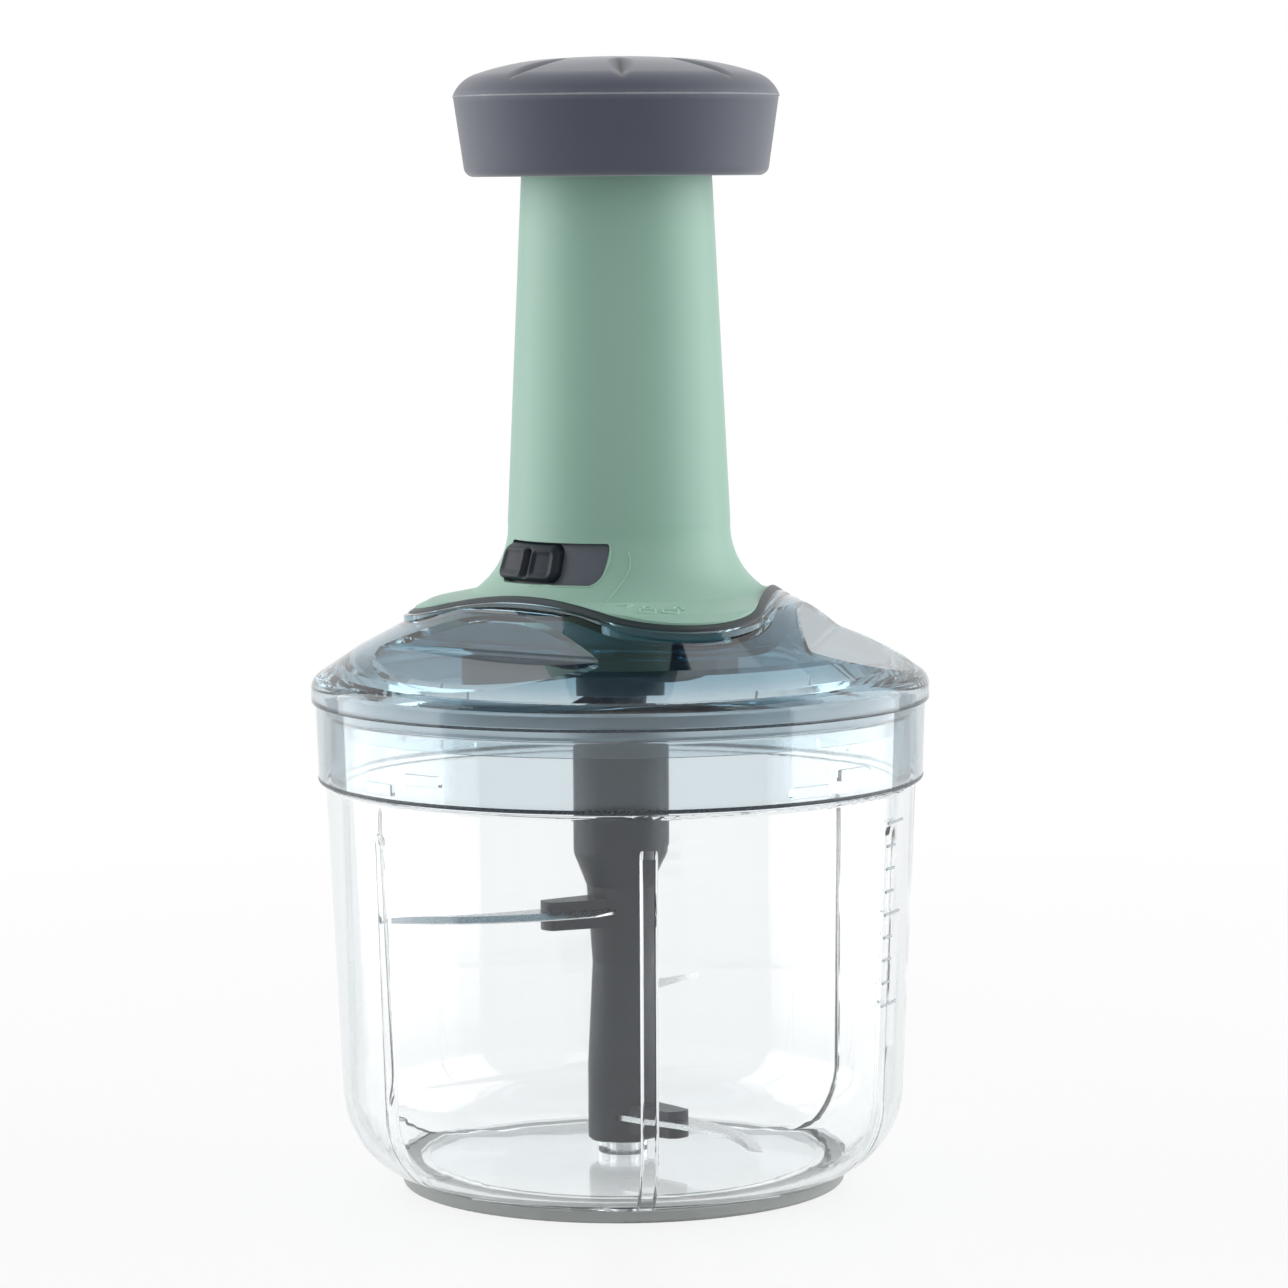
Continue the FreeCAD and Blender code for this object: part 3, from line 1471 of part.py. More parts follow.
housing_screws = keep(make_screws(
    "housing_screws", screw_places(mm.housing_screw_circle, mm.lobe_bearing),
    housing_bottom, housing_bottom + mm.screw_head_height,
    housing_bottom + mm.housing_screw_length))

knob_screws = keep(make_screws(
    "knob_screws", screw_places(mm.knob_screw_circle, 0),
    tube_top - mm.screw_head_height, tube_top,
    tube_top + mm.knob_screw_length - mm.running_gap))

# Return spring

seat_top = mm.well_floor_height + mm.spring_seat_thickness
spring_seat = keep(revolve("spring_seat", [
    (mm.journal_radius + mm.seal_gap * 2, mm.well_floor_height),
    (tube_inner, mm.well_floor_height),
    (tube_inner, seat_top),
    (mm.spring_radius - mm.spring_wire / 2 - mm.seal_gap, seat_top),
    (mm.spring_radius - mm.spring_wire / 2 - mm.seal_gap * 2, seat_top + mm.spring_wire),
    (mm.journal_radius + mm.seal_gap * 2, seat_top + mm.spring_wire),
]))


def helix_point(turns_done, radius, low, pitch):
    angle = 2 * math.pi * turns_done
    return Vector(radius * math.cos(angle), radius * math.sin(angle), low + pitch * turns_done)


def make_spring():
    """One unbroken tube: each quarter turn of its path is two arcs that meet smoothly."""
    radius = mm.spring_radius.value
    wire = mm.spring_wire.value
    turns = mm.spring_turns.value
    low = seat_top.value + wire / 2
    high = nut_low.value - wire / 2
    pitch = (high - low) / turns
    quarter = 0.25
    slope = Vector(0, 2 * math.pi * radius, pitch)
    slope.normalize()
    edges = []
    for number in range(round(turns / quarter)):
        ends = [number * quarter, (number + 1) * quarter]
        points = [helix_point(end, radius, low, pitch) for end in ends]
        tangents = [Rotation(Vector(0, 0, 1), FULL_TURN * end).multVec(slope) for end in ends]
        edges += biarc(points[0], tangents[0], points[1], tangents[1])
    path = Part.Wire(edges)
    section = Part.Wire(Part.Circle(helix_point(0, radius, low, pitch), slope, wire / 2).toShape())
    sweep = Part.BRepOffsetAPI.MakePipeShell(path)
    sweep.add(section)
    sweep.build()
    sweep.makeSolid()
    least_gap = pitch * math.cos(math.atan2(slope.z, slope.y)) - wire
    print("return_spring least gap between turns %.2f mm" % least_gap)
    return solid_feature("return_spring", sweep.shape())


def biarc(start, leaving, end, arriving):
    """Two arcs from start to end that share their tangent where they meet."""
    chord = end - start
    spread = leaving + arriving
    slack = 2 * (1 - leaving.dot(arriving))
    reach = chord.dot(spread)
    length = (-reach + math.sqrt(reach * reach + slack * chord.dot(chord))) / slack
    middle = (start + end + (leaving - arriving) * length) * 0.5
    halves = []
    for first, tangent, last in ((start, leaving, middle), (end, -arriving, middle)):
        span = last - first
        normal = span - tangent * (span.dot(tangent))
        normal.normalize()
        radius = span.dot(span) / (2 * span.dot(normal))
        centre = first + normal * radius
        bisector = (first + last) * 0.5 - centre
        bisector.normalize()
        crown = centre + bisector * radius
        ends = (first, last) if first == start else (last, first)
        halves.append(Part.Arc(ends[0], crown, ends[1]).toShape())
    return halves


return_spring = keep(make_spring())

# Checks and files

doc.recompute()
for item in doc.Objects:
    if "Invalid" in item.State or "Error" in item.State:
        raise RuntimeError("%s did not build: %s" % (item.Name, item.State))
for item in pieces:
    shape = item.Shape
    if shape.isNull() or not shape.isValid() or not shape.Solids:
        raise RuntimeError("%s has no valid solid" % item.Label)

os.makedirs("parts", exist_ok=True)
for item in pieces:
    item.Shape.exportStep("parts/%s.step" % item.Label)
print("%d sub-parts written" % len(pieces))
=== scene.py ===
# %% [markdown]
# # A plunger food chopper, dressed for the camera
# This lesson starts from an exact model that was drawn with dimensions and packed as a frame. Its bodies
# already move on their joints, so Blender only adds looks: materials, fine details, a camera and light. The
# frame stays fixed. Everything is in metres, with Z up and the front of the chopper towards -Y.

# %% Load the frame
import math
import bmesh
import bpy
from mathutils import Matrix, Vector
from mathutils.bvhtree import BVHTree


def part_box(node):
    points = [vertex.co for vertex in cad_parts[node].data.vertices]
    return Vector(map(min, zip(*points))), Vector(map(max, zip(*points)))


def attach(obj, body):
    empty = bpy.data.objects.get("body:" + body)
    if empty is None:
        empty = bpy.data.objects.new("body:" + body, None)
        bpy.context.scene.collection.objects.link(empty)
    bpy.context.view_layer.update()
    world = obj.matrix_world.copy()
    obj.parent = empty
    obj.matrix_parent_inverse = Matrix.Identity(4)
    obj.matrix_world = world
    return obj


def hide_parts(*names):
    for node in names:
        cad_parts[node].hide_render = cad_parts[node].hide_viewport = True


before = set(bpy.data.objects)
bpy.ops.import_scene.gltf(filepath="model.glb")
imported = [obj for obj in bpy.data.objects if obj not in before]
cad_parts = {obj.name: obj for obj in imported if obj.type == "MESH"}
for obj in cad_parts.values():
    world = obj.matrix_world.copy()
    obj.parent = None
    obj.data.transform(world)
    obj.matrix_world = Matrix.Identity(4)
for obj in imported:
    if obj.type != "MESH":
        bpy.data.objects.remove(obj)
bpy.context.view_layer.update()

MM = 0.001

# %% [markdown]
# # The camera
# The picture was taken from a little above the lid with a long lens. A long lens far away keeps the tall
# column straight, and a small downward pitch opens the round lines of the lid into shallow ellipses. The
# numbers below were fitted to the widths of the knob, lid and foot, so they stand as named values. The
# Standard view shows colours as they are set. Light that looks through the lid and the bowl crosses many
# clear walls, and it needs enough bounces to come out again, or black patches are left.

# %% Place the camera
PHOTO_WIDTH = 1288
SENSOR_WIDTH = 36.0
FOCAL_PIXELS = 4773
CAMERA_AT = Vector((5.3, -1049.0, 221.8)) * MM
CAMERA_PITCH = math.radians(5.58)
CAMERA_ROLL = math.radians(-0.4)

camera_data = bpy.data.cameras.new("studio_camera")
camera_data.sensor_width = SENSOR_WIDTH
camera_data.lens = SENSOR_WIDTH * FOCAL_PIXELS / PHOTO_WIDTH
camera_data.clip_start = 0.05
camera_data.clip_end = 60.0
camera = bpy.data.objects.new("studio_camera", camera_data)
bpy.context.scene.collection.objects.link(camera)
camera.matrix_world = (Matrix.Translation(CAMERA_AT)
                       @ Matrix.Rotation(math.radians(90) - CAMERA_PITCH, 4, "X")
                       @ Matrix.Rotation(CAMERA_ROLL, 4, "Z"))
bpy.context.scene.camera = camera
bpy.context.scene.view_settings.view_transform = "Standard"
LIGHT_BOUNCES = 24
for kind in ("max_bounces", "glossy_bounces", "transmission_bounces", "transparent_max_bounces"):
    setattr(bpy.context.scene.cycles, kind, LIGHT_BOUNCES)
print("lens: %.1f mm" % camera_data.lens)

# %% [markdown]
# # Helpers for node trees
# A material is a small graph. A few short helpers keep each recipe readable: one adds a node with its
# settings, one makes a fresh material that ends in a Principled shader, and the others stand for the steps
# that come back in each recipe. Patterns read Object coordinates, which don't slide when a part moves,
# because each piece carries its own.

# %% Helpers for materials
def add(tree, kind, settings=(), **values):
    """Adds a node. settings are (property, value) pairs; values fill its sockets, with _ for each space."""
    node = tree.nodes.new(kind)
    for prop, value in settings:
        setattr(node, prop, value)
    for name, value in values.items():
        fill(tree, node.inputs[name.replace("_", " ")], value)
    return node


def fill(tree, socket, value):
    """Gives a socket another node's output or a plain value."""
    if isinstance(value, bpy.types.NodeSocket):
        tree.links.new(value, socket)
    else:
        socket.default_value = value


def new_material(name, base, roughness, **values):
    """A material with one Principled shader. Returns the material, its tree, the shader and coordinates."""
    material = bpy.data.materials.new(name)
    material.use_nodes = True
    tree = material.node_tree
    tree.nodes.clear()
    output = tree.nodes.new("ShaderNodeOutputMaterial")
    shader = add(tree, "ShaderNodeBsdfPrincipled", Base_Color=(*base, 1.0), Roughness=roughness, **values)
    tree.links.new(shader.outputs["BSDF"], output.inputs["Surface"])
    place = tree.nodes.new("ShaderNodeTexCoord").outputs["Object"]
    return material, tree, shader, place


def surface_of(tree):
    """Where a material's last shader goes in."""
    return next(node for node in tree.nodes if node.type == "OUTPUT_MATERIAL").inputs["Surface"]


def calculated(tree, operation, *numbers):
    """One step of arithmetic. Each number is a value or another node's output."""
    step = add(tree, "ShaderNodeMath", [("operation", operation)])
    for socket, number in zip(step.inputs, numbers):
        fill(tree, socket, number)
    return step.outputs[0]


def axes_of(tree, vector):
    return add(tree, "ShaderNodeSeparateXYZ", Vector=vector).outputs


def noise(tree, place, scale, detail=3.0, roughness=0.55):
    return add(tree, "ShaderNodeTexNoise", Vector=place, Scale=scale, Detail=detail,
               Roughness=roughness).outputs["Fac"]


def ramp(tree, value, start, end, low=0.0, high=1.0, kind="SMOOTHSTEP"):
    """Low up to start, high from end on, and a climb between them."""
    return add(tree, "ShaderNodeMapRange", [("interpolation_type", kind)], Value=value, From_Min=start,
               From_Max=end, To_Min=low, To_Max=high).outputs["Result"]


def spread(tree, pattern, low, high):
    """Turns a pattern's 0 to 1 into low to high."""
    return ramp(tree, pattern, 0.0, 1.0, low, high, "LINEAR")


def mixed(tree, factor, first, second):
    """A colour between two, each of them three numbers or another node's output."""
    mix = add(tree, "ShaderNodeMix", [("data_type", "RGBA")])
    tree.links.new(factor, mix.inputs[0])
    for socket, colour in ((mix.inputs[6], first), (mix.inputs[7], second)):
        fill(tree, socket, colour if isinstance(colour, bpy.types.NodeSocket) else (*colour, 1.0))
    return mix.outputs[2]


def mixed_shader(tree, factor, first, second):
    mix = tree.nodes.new("ShaderNodeMixShader")
    for socket, source in zip(mix.inputs, (factor, first.outputs[0], second.outputs[0])):
        tree.links.new(source, socket)
    return mix


def drive(tree, shader, colour, roughness):
    """Lets patterns set the shader's colour and roughness."""
    tree.links.new(colour, shader.inputs["Base Color"])
    tree.links.new(roughness, shader.inputs["Roughness"])


def bump(tree, shader, height, strength, distance):
    relief = add(tree, "ShaderNodeBump", Strength=strength, Distance=distance, Height=height)
    tree.links.new(relief.outputs["Normal"], shader.inputs["Normal"])

# %% [markdown]
# # Satin plastic
# The column is moulded in mint green with a fine spark-eroded satin. Real moulded plastic is never one flat
# colour: the pigment clouds very slightly, and the skin has grains of about a fifth of a millimetre that
# blur the highlights. One noise clouds the colour, and a finer one drives both roughness and bump.

# %% Satin plastic for the column and the inner pieces
SATIN_CLOUDS, SATIN_GRAINS = 55, 5200
GRAIN_DEPTH = 0.05 * MM


def satin_plastic(name, dark, light, roughness, relief=0.12, specular=0.5, sheen=0.0):
    material, tree, shader, place = new_material(name, light, roughness, Specular_IOR_Level=specular,
                                                 Sheen_Weight=sheen)
    grains = noise(tree, place, SATIN_GRAINS, 2.0)
    drive(tree, shader, mixed(tree, noise(tree, place, SATIN_CLOUDS, 2.0), dark, light),
          spread(tree, grains, roughness - 0.06, roughness + 0.06))
    if relief:
        bump(tree, shader, grains, relief, GRAIN_DEPTH)
    return material


mint_plastic = satin_plastic("mint_plastic", (0.285, 0.492, 0.395), (0.312, 0.526, 0.425), 0.44,
                             sheen=0.16)
ring_plastic = satin_plastic("slate_ring_plastic", (0.090, 0.106, 0.132), (0.106, 0.124, 0.152), 0.40)
button_plastic = satin_plastic("dark_button_plastic", (0.012, 0.017, 0.025), (0.017, 0.024, 0.034), 0.40,
                               specular=0.2)
housing_plastic = satin_plastic("dark_housing_plastic", (0.030, 0.043, 0.056), (0.040, 0.054, 0.069), 0.42,
                                specular=0.35)
hub_plastic = satin_plastic("dark_hub_plastic", (0.008, 0.012, 0.018), (0.012, 0.017, 0.025), 0.36,
                            relief=0.0, specular=0.25)
acetal = satin_plastic("white_acetal", (0.66, 0.66, 0.63), (0.74, 0.74, 0.71), 0.40)
print("satin plastics:", len(bpy.data.materials))

# %% [markdown]
# # Soft grip
# The knob has a skin of slate soft-touch rubber. It is nearly matt, it catches light only at a glancing
# angle, and sheen gives the glancing light. A band of height round the seam is painted paler, a painted
# highlight along the edge, broken up by a noise. The bottoms of the finger grooves on the crown are
# painted darker, as painted shade: the turn round the axis folds into one groove, and times the radius it
# tells how far away the groove is.

# %% Soft grip for the knob
SEAM_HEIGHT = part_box("knob_cover")[0][2]
HIGHLIGHT_BAND_WIDTH, HIGHLIGHT_BAND_STRENGTH = 1.6 * MM, 0.7
GROOVE_STEP = math.tau / 8
FRONT_GROOVE = math.radians(-87.3)
GROOVE_START, GROOVE_END = 15.8 * MM, 33.6 * MM
GROOVE_SHADE_LINE, GROOVE_SHADE_EDGE, GROOVE_SHADE_FADE = 0.15 * MM, 1.1 * MM, 3 * MM
GROOVE_SHADE_FACTOR = 0.4
GRIP_CLOUDS, GRIP_PATCHES, GRIP_GRAINS = 70, 420, 3600


def groove_painted_shade(tree, place):
    """1 along the bottoms of the finger grooves on the crown, where shade is painted, and 0 away from them.
    """
    at = axes_of(tree, place)
    turn = calculated(tree, "SUBTRACT", calculated(tree, "ARCTAN2", at["Y"], at["X"]), FRONT_GROOVE)
    squares = [calculated(tree, "MULTIPLY", at[axis], at[axis]) for axis in "XY"]
    radius = calculated(tree, "SQRT", calculated(tree, "ADD", *squares))
    aside = calculated(tree, "MULTIPLY", calculated(tree, "PINGPONG", turn, GROOVE_STEP / 2), radius)
    fine_mask = calculated(tree, "GREATER_THAN", at["Z"], SEAM_HEIGHT + HIGHLIGHT_BAND_WIDTH)
    for share in (ramp(tree, aside, GROOVE_SHADE_LINE, GROOVE_SHADE_EDGE, 1.0, 0.0),
                  ramp(tree, radius, GROOVE_START, GROOVE_START + GROOVE_SHADE_FADE, kind="LINEAR"),
                  ramp(tree, radius, GROOVE_END - GROOVE_SHADE_FADE, GROOVE_END, 1.0, 0.0, "LINEAR")):
        fine_mask = calculated(tree, "MULTIPLY", fine_mask, share)
    return fine_mask


def soft_grip(name, dark, light, seam_highlight, roughness):
    material, tree, shader, place = new_material(name, light, roughness, Sheen_Weight=0.55,
                                                 Sheen_Roughness=0.45, Specular_IOR_Level=0.35)
    # Painted highlight: the skin is painted paler in a band round the seam, broken up by a noise.
    above_seam = calculated(tree, "SUBTRACT", axes_of(tree, place)["Z"], SEAM_HEIGHT)
    band = ramp(tree, calculated(tree, "ABSOLUTE", above_seam), 0.0, HIGHLIGHT_BAND_WIDTH, HIGHLIGHT_BAND_STRENGTH, 0.0)
    highlight_share = calculated(tree, "MULTIPLY", band, spread(tree, noise(tree, place, GRIP_PATCHES, 4.0), 0.2, 1.0))
    skin = mixed(tree, highlight_share, mixed(tree, noise(tree, place, GRIP_CLOUDS), dark, light), seam_highlight)
    grains = noise(tree, place, GRIP_GRAINS, 2.0)
    # Painted shade: the groove bottoms are painted a darker copy of the dark colour.
    drive(tree, shader, mixed(tree, groove_painted_shade(tree, place), skin, [GROOVE_SHADE_FACTOR * part for part in dark]),
          spread(tree, grains, roughness - 0.08, roughness + 0.08))
    bump(tree, shader, grains, 0.22, GRAIN_DEPTH)
    return material


# The third colour is the painted highlight round the seam.
slate_grip = soft_grip("slate_soft_grip", (0.082, 0.091, 0.124), (0.096, 0.105, 0.142), (0.20, 0.215, 0.25),
                       0.62)
print("soft grip, seam at %.1f mm" % (SEAM_HEIGHT / MM))

# %% [markdown]
# # Silicone
# The seal, the gasket and the foot are silicone: soft, a little milky, and light passes through it but is
# scattered on the way. A half transmitting shader with a rough surface gives that. Dust clings to silicone,
# so a fine noise makes its surface uneven.

# %% Silicone for the seal, the gasket and the foot
SILICONE_CLOUDS, SILICONE_DUST = 120, 2600


def silicone(name, dark, light, roughness, through):
    material, tree, shader, place = new_material(name, light, roughness, Transmission_Weight=through,
                                                 IOR=1.41)
    fine_mask = noise(tree, place, SILICONE_DUST)
    drive(tree, shader, mixed(tree, noise(tree, place, SILICONE_CLOUDS), dark, light),
          spread(tree, fine_mask, roughness - 0.08, roughness + 0.12))
    bump(tree, shader, fine_mask, 0.15, GRAIN_DEPTH)
    return material


seal_rubber = silicone("clear_seal_silicone", (0.80, 0.83, 0.85), (0.88, 0.90, 0.91), 0.30, 0.85)
gasket_rubber = silicone("lilac_gasket_silicone", (0.11, 0.12, 0.16), (0.15, 0.16, 0.20), 0.45, 0.15)
foot_rubber = silicone("grey_foot_silicone", (0.40, 0.42, 0.41), (0.48, 0.50, 0.485), 0.42, 0.3)
print("silicones made")

# %% [markdown]
# # Clear plastic
# The bowl and the lid are clear plastic, so their walls bend light like thin glass: dark lines gather where
# a wall is seen edge on, because there the light crosses more of the plastic. The refraction comes from the
# shader's own transmission and index, and Layer Weight deepens the tint where the wall turns away. The lid
# is smoke blue, and deeper in its dome than in its thin skirt, so its tint follows the height. Lamps can't
# send light through such a shader without a lot of noise, so rays that run towards a lamp meet a plain
# tinted transparent surface instead. Faint streaks of roughness stand for the polish of the mould,
# and a slow ripple bends the reflections a little.

# %% Clear plastic for the bowl and the lid
EDGE_START = 0.5
DOME_LOW, DOME_HIGH = 108 * MM, 117 * MM
POLISH_STREAKS, WALL_RIPPLES, RIPPLE_DEPTH = 90, 38, 0.2 * MM
BOWL_TINT = (0.955, 0.970, 0.975)


def clear_plastic(name, tint, dome_tint, edge_tint, shadow_tint, roughness):
    material, tree, shader, place = new_material(name, tint, roughness, Transmission_Weight=1.0, IOR=1.49)
    facing = add(tree, "ShaderNodeLayerWeight", Blend=0.5).outputs["Facing"]
    turned = ramp(tree, facing, EDGE_START, 1.0)
    raised = ramp(tree, axes_of(tree, place)["Z"], DOME_LOW, DOME_HIGH)
    polish = noise(tree, place, POLISH_STREAKS)
    drive(tree, shader, mixed(tree, turned, mixed(tree, raised, tint, dome_tint), edge_tint),
          spread(tree, polish, roughness * 0.6, roughness * 1.6))
    bump(tree, shader, noise(tree, place, WALL_RIPPLES, 1.0), 0.10, RIPPLE_DEPTH)
    lamp_ray = tree.nodes.new("ShaderNodeLightPath").outputs["Is Shadow Ray"]
    passing = add(tree, "ShaderNodeBsdfTransparent", Color=(*shadow_tint, 1.0))
    tree.links.new(mixed_shader(tree, lamp_ray, shader, passing).outputs[0], surface_of(tree))
    return material


bowl_plastic = clear_plastic("clear_bowl_plastic", BOWL_TINT, BOWL_TINT, (0.56, 0.63, 0.66),
                             (0.93, 0.95, 0.955), 0.02)
lid_plastic = clear_plastic("tinted_lid_plastic", (0.74, 0.80, 0.83), (0.205, 0.35, 0.43),
                            (0.14, 0.24, 0.29), (0.60, 0.69, 0.73), 0.025)
print("clear plastics made")

# %% [markdown]
# # Steel
# The blades are stamped from stainless sheet and ground along their length, so the metal is streaked: a
# noise that is stretched along one direction makes long fine scratches. The same streaks drive the
# roughness and a slight bump. The spindle and screws are turned, so they get a plainer, rounder polish.

# %% Ground and turned steel
WORN_SHADE = 0.86


def steel(name, tone, roughness, stretch, streak_scale):
    material, tree, shader, place = new_material(name, tone, roughness, Metallic=1.0)
    stretched = add(tree, "ShaderNodeMapping", Vector=place, Scale=stretch).outputs["Vector"]
    streaks = noise(tree, stretched, streak_scale, 4.0, 0.6)
    drive(tree, shader, mixed(tree, streaks, [WORN_SHADE * part for part in tone], tone),
          spread(tree, streaks, roughness - 0.08, roughness + 0.10))
    bump(tree, shader, streaks, 0.12, 0.02 * MM)
    return material


blade_steel = steel("ground_blade_steel", (0.62, 0.63, 0.64), 0.26, (1.0, 1.0, 12.0), 900)
turned_steel = steel("turned_steel", (0.56, 0.57, 0.58), 0.24, (1.0, 1.0, 9.0), 1500)
spring_steel = steel("spring_steel", (0.48, 0.49, 0.51), 0.30, (1.0, 1.0, 1.0), 2400)
print("materials:", len(bpy.data.materials))

# %% [markdown]
# # Dress the CAD pieces
# Each node of the frame keeps its exact mesh and only gets a better material in its slots. A plain
# dictionary from node to material reads like a parts list, and the check after it makes sure that no node
# was forgotten.

# %% Give every node its material
FINISHES = {
    "bowl": bowl_plastic, "foot_ring": foot_rubber, "pivot_pin": turned_steel,
    "blade_hub": hub_plastic, "hub_bush": acetal,
    "lower_blade": blade_steel, "middle_blade": blade_steel, "upper_blade": blade_steel,
    "lid": lid_plastic, "lid_seal": seal_rubber,
    "column": mint_plastic, "guide_bush": acetal, "column_gasket": gasket_rubber,
    "lock_retainer": ring_plastic, "lock_ring": ring_plastic, "lock_button": button_plastic,
    "plunger_tube": mint_plastic, "drive_nut": acetal,
    "knob_body": slate_grip, "knob_cover": slate_grip, "knob_screws": turned_steel,
    "spindle": turned_steel, "thrust_washer": turned_steel,
    "ratchet_driver": acetal, "ratchet_driven": acetal,
    "output_coupling": hub_plastic, "output_bush": acetal,
    "drive_housing": housing_plastic, "housing_screws": turned_steel,
    "spring_seat": acetal, "return_spring": spring_steel,
}


def finish_node(node, material):
    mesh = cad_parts[node].data
    mesh.materials.clear()
    mesh.materials.append(material)


for node, material in FINISHES.items():
    finish_node(node, material)
missing = set(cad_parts) - set(FINISHES)
print("nodes dressed:", len(FINISHES), "left out:", sorted(missing))

# %% [markdown]
# # Two ways to add a fine piece
# The next pieces are too small to be worth a dimension in the model, but a close look misses them. What
# repeats or follows a ring is grown by a Geometry Nodes tree: its inputs are named sizes, it runs once on
# an empty seed, and its result is kept as a plain mesh. What is drawn on a curved skin is a set of
# strokes, and each point of a stroke is moved to the nearest point of the skin before it gets its
# thickness.

# %% Helpers for grown pieces
def new_object(name, data):
    item = bpy.data.objects.new(name, data)
    bpy.context.scene.collection.objects.link(item)
    return item


def plain_mesh(item):
    """The mesh of an object after its modifiers or bevel."""
    return bpy.data.meshes.new_from_object(item.evaluated_get(bpy.context.evaluated_depsgraph_get()))


def kept_mesh(name, drawing, material=None):
    """The mesh of a finished drawing, with its faces pointing outwards."""
    bmesh.ops.recalc_face_normals(drawing, faces=drawing.faces)
    mesh = bpy.data.meshes.new(name)
    drawing.to_mesh(mesh)
    drawing.free()
    if material:
        mesh.materials.append(material)
    return mesh


def new_tree(name, sizes):
    """A Geometry Nodes tree with one named input for each size, whole numbers as counts."""
    tree = bpy.data.node_groups.new(name, "GeometryNodeTree")
    for label, value in sizes.items():
        kind = "NodeSocketInt" if isinstance(value, int) else "NodeSocketFloat"
        tree.interface.new_socket(label, in_out="INPUT", socket_type=kind)
    tree.interface.new_socket("Geometry", in_out="OUTPUT", socket_type="NodeSocketGeometry")
    return tree, tree.nodes.new("NodeGroupInput").outputs


def grow(name, tree, sizes, last, material):
    """Ends the tree, runs it on an empty seed with these sizes and keeps the result as a plain mesh."""
    whole = add(tree, "GeometryNodeRealizeInstances", Geometry=last)
    dressed = add(tree, "GeometryNodeSetMaterial", Geometry=whole.outputs[0], Material=material)
    tree.links.new(dressed.outputs[0], tree.nodes.new("NodeGroupOutput").inputs[0])
    seed = new_object(name + "_seed", bpy.data.meshes.new(name + "_seed"))
    modifier = seed.modifiers.new("grow", "NODES")
    modifier.node_group = tree
    for item in tree.interface.items_tree:
        if item.in_out == "INPUT":
            modifier[item.identifier] = sizes[item.name]
    mesh = plain_mesh(seed)
    seed.modifiers.remove(modifier)
    bpy.data.objects.remove(seed)
    print(name, "has", len(mesh.polygons), "faces")
    return new_object(name, mesh)


def joined(tree, *parts):
    node = tree.nodes.new("GeometryNodeJoinGeometry")
    for part in parts:
        tree.links.new(part, node.inputs[0])
    return node.outputs[0]


def combine(tree, x=0.0, y=0.0, z=0.0):
    return add(tree, "ShaderNodeCombineXYZ", X=x, Y=y, Z=z).outputs["Vector"]


def raised_ring(tree, sizes):
    """A circle that is lifted to a height, from the inputs Ring steps, Ring radius and Height."""
    ring = add(tree, "GeometryNodeCurvePrimitiveCircle", Resolution=sizes["Ring steps"],
               Radius=sizes["Ring radius"])
    return add(tree, "GeometryNodeSetPosition", Geometry=ring.outputs["Curve"],
               Offset=combine(tree, z=sizes["Height"])).outputs[0]


SECTION_STEPS = 8


def swept(tree, path, radius, **values):
    """A round section swept along a path."""
    profile = add(tree, "GeometryNodeCurvePrimitiveCircle", Resolution=SECTION_STEPS,
                  Radius=radius).outputs["Curve"]
    return add(tree, "GeometryNodeCurveToMesh", Curve=path, Profile_Curve=profile, **values).outputs[0]

# %% A search tree for each skin that carries a fine piece
OUTSIDE, ABOVE = 0.2, 0.3
DOWN = Vector((0.0, 0.0, -1.0))


def skin_of(node):
    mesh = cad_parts[node].data
    return BVHTree.FromPolygons([vertex.co for vertex in mesh.vertices],
                                [face.vertices for face in mesh.polygons])


def outward(turn):
    """The level direction away from the axis, at a turn in degrees."""
    return Vector((math.cos(math.radians(turn)), math.sin(math.radians(turn)), 0.0))


def radius_at(skin, turn, height):
    """How far the skin is from the axis, at a turn in degrees and a height."""
    found = skin.ray_cast(outward(turn) * OUTSIDE + Vector((0.0, 0.0, height)), -outward(turn))[0]
    return math.hypot(found.x, found.y)


def height_at(skin, turn, radius):
    """How high the skin is, at a turn in degrees and a distance from the axis."""
    return skin.ray_cast(outward(turn) * radius + Vector((0.0, 0.0, ABOVE)), DOWN)[0].z


column_skin = skin_of("column")
bowl_skin = skin_of("bowl")
print("the bowl's radius at 60 mm: %.2f mm" % (radius_at(bowl_skin, -24.0, 60 * MM) / MM))

# %% [markdown]
# # The flash line of the knob
# Where the two halves of the knob's mould met, a little rubber squeezed out and left a thin line right
# round the seam; its pale colour is a painted highlight. It is thicker in some places than in others. A
# circle that is swept with a small round profile gives the line, and a noise on the curve's radius makes it
# uneven, as trimmed rubber is.

# %% Grow the flash line
# The flash line's pale colour is a painted highlight along the seam.
flash_highlight_rubber = satin_plastic("pale_flash_rubber", (0.26, 0.27, 0.29), (0.36, 0.37, 0.40), 0.55)
SEAM_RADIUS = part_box("knob_body")[1][0]
FLASH = {"Ring radius": SEAM_RADIUS - 0.08 * MM, "Bead radius": 0.26 * MM, "Height": SEAM_HEIGHT,
         "Ring steps": 240}
FLASH_PATCHES = 260.0
FLASH_THIN, FLASH_THICK = 0.7, 1.1
tree, sizes = new_tree("flash_line", FLASH)
uneven = add(tree, "ShaderNodeTexNoise", Scale=FLASH_PATCHES, Detail=2.0).outputs["Fac"]
thick = ramp(tree, uneven, 0.3, 0.7, FLASH_THIN, FLASH_THICK, "LINEAR")
trimmed = add(tree, "GeometryNodeSetCurveRadius", Curve=raised_ring(tree, sizes), Radius=thick).outputs[0]
flash_line = grow("knob_flash_line", tree, FLASH,
                  swept(tree, trimmed, sizes["Bead radius"], Scale=thick), flash_highlight_rubber)
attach(flash_line, "plunger")

# %% [markdown]
# # The crown of the knob
# The crown is one soft moulding, a low dome with eight grooves that fingers find without looking. Each
# groove is deepest at its middle and runs out to a point at both ends. The dome is drawn as rings of
# points. Rays from above and from the side measure the model's own dome between two of its grooves, so the
# size stays exact, and one formula sinks the grooves into it. The crown stands for the plainer cover of the
# model.

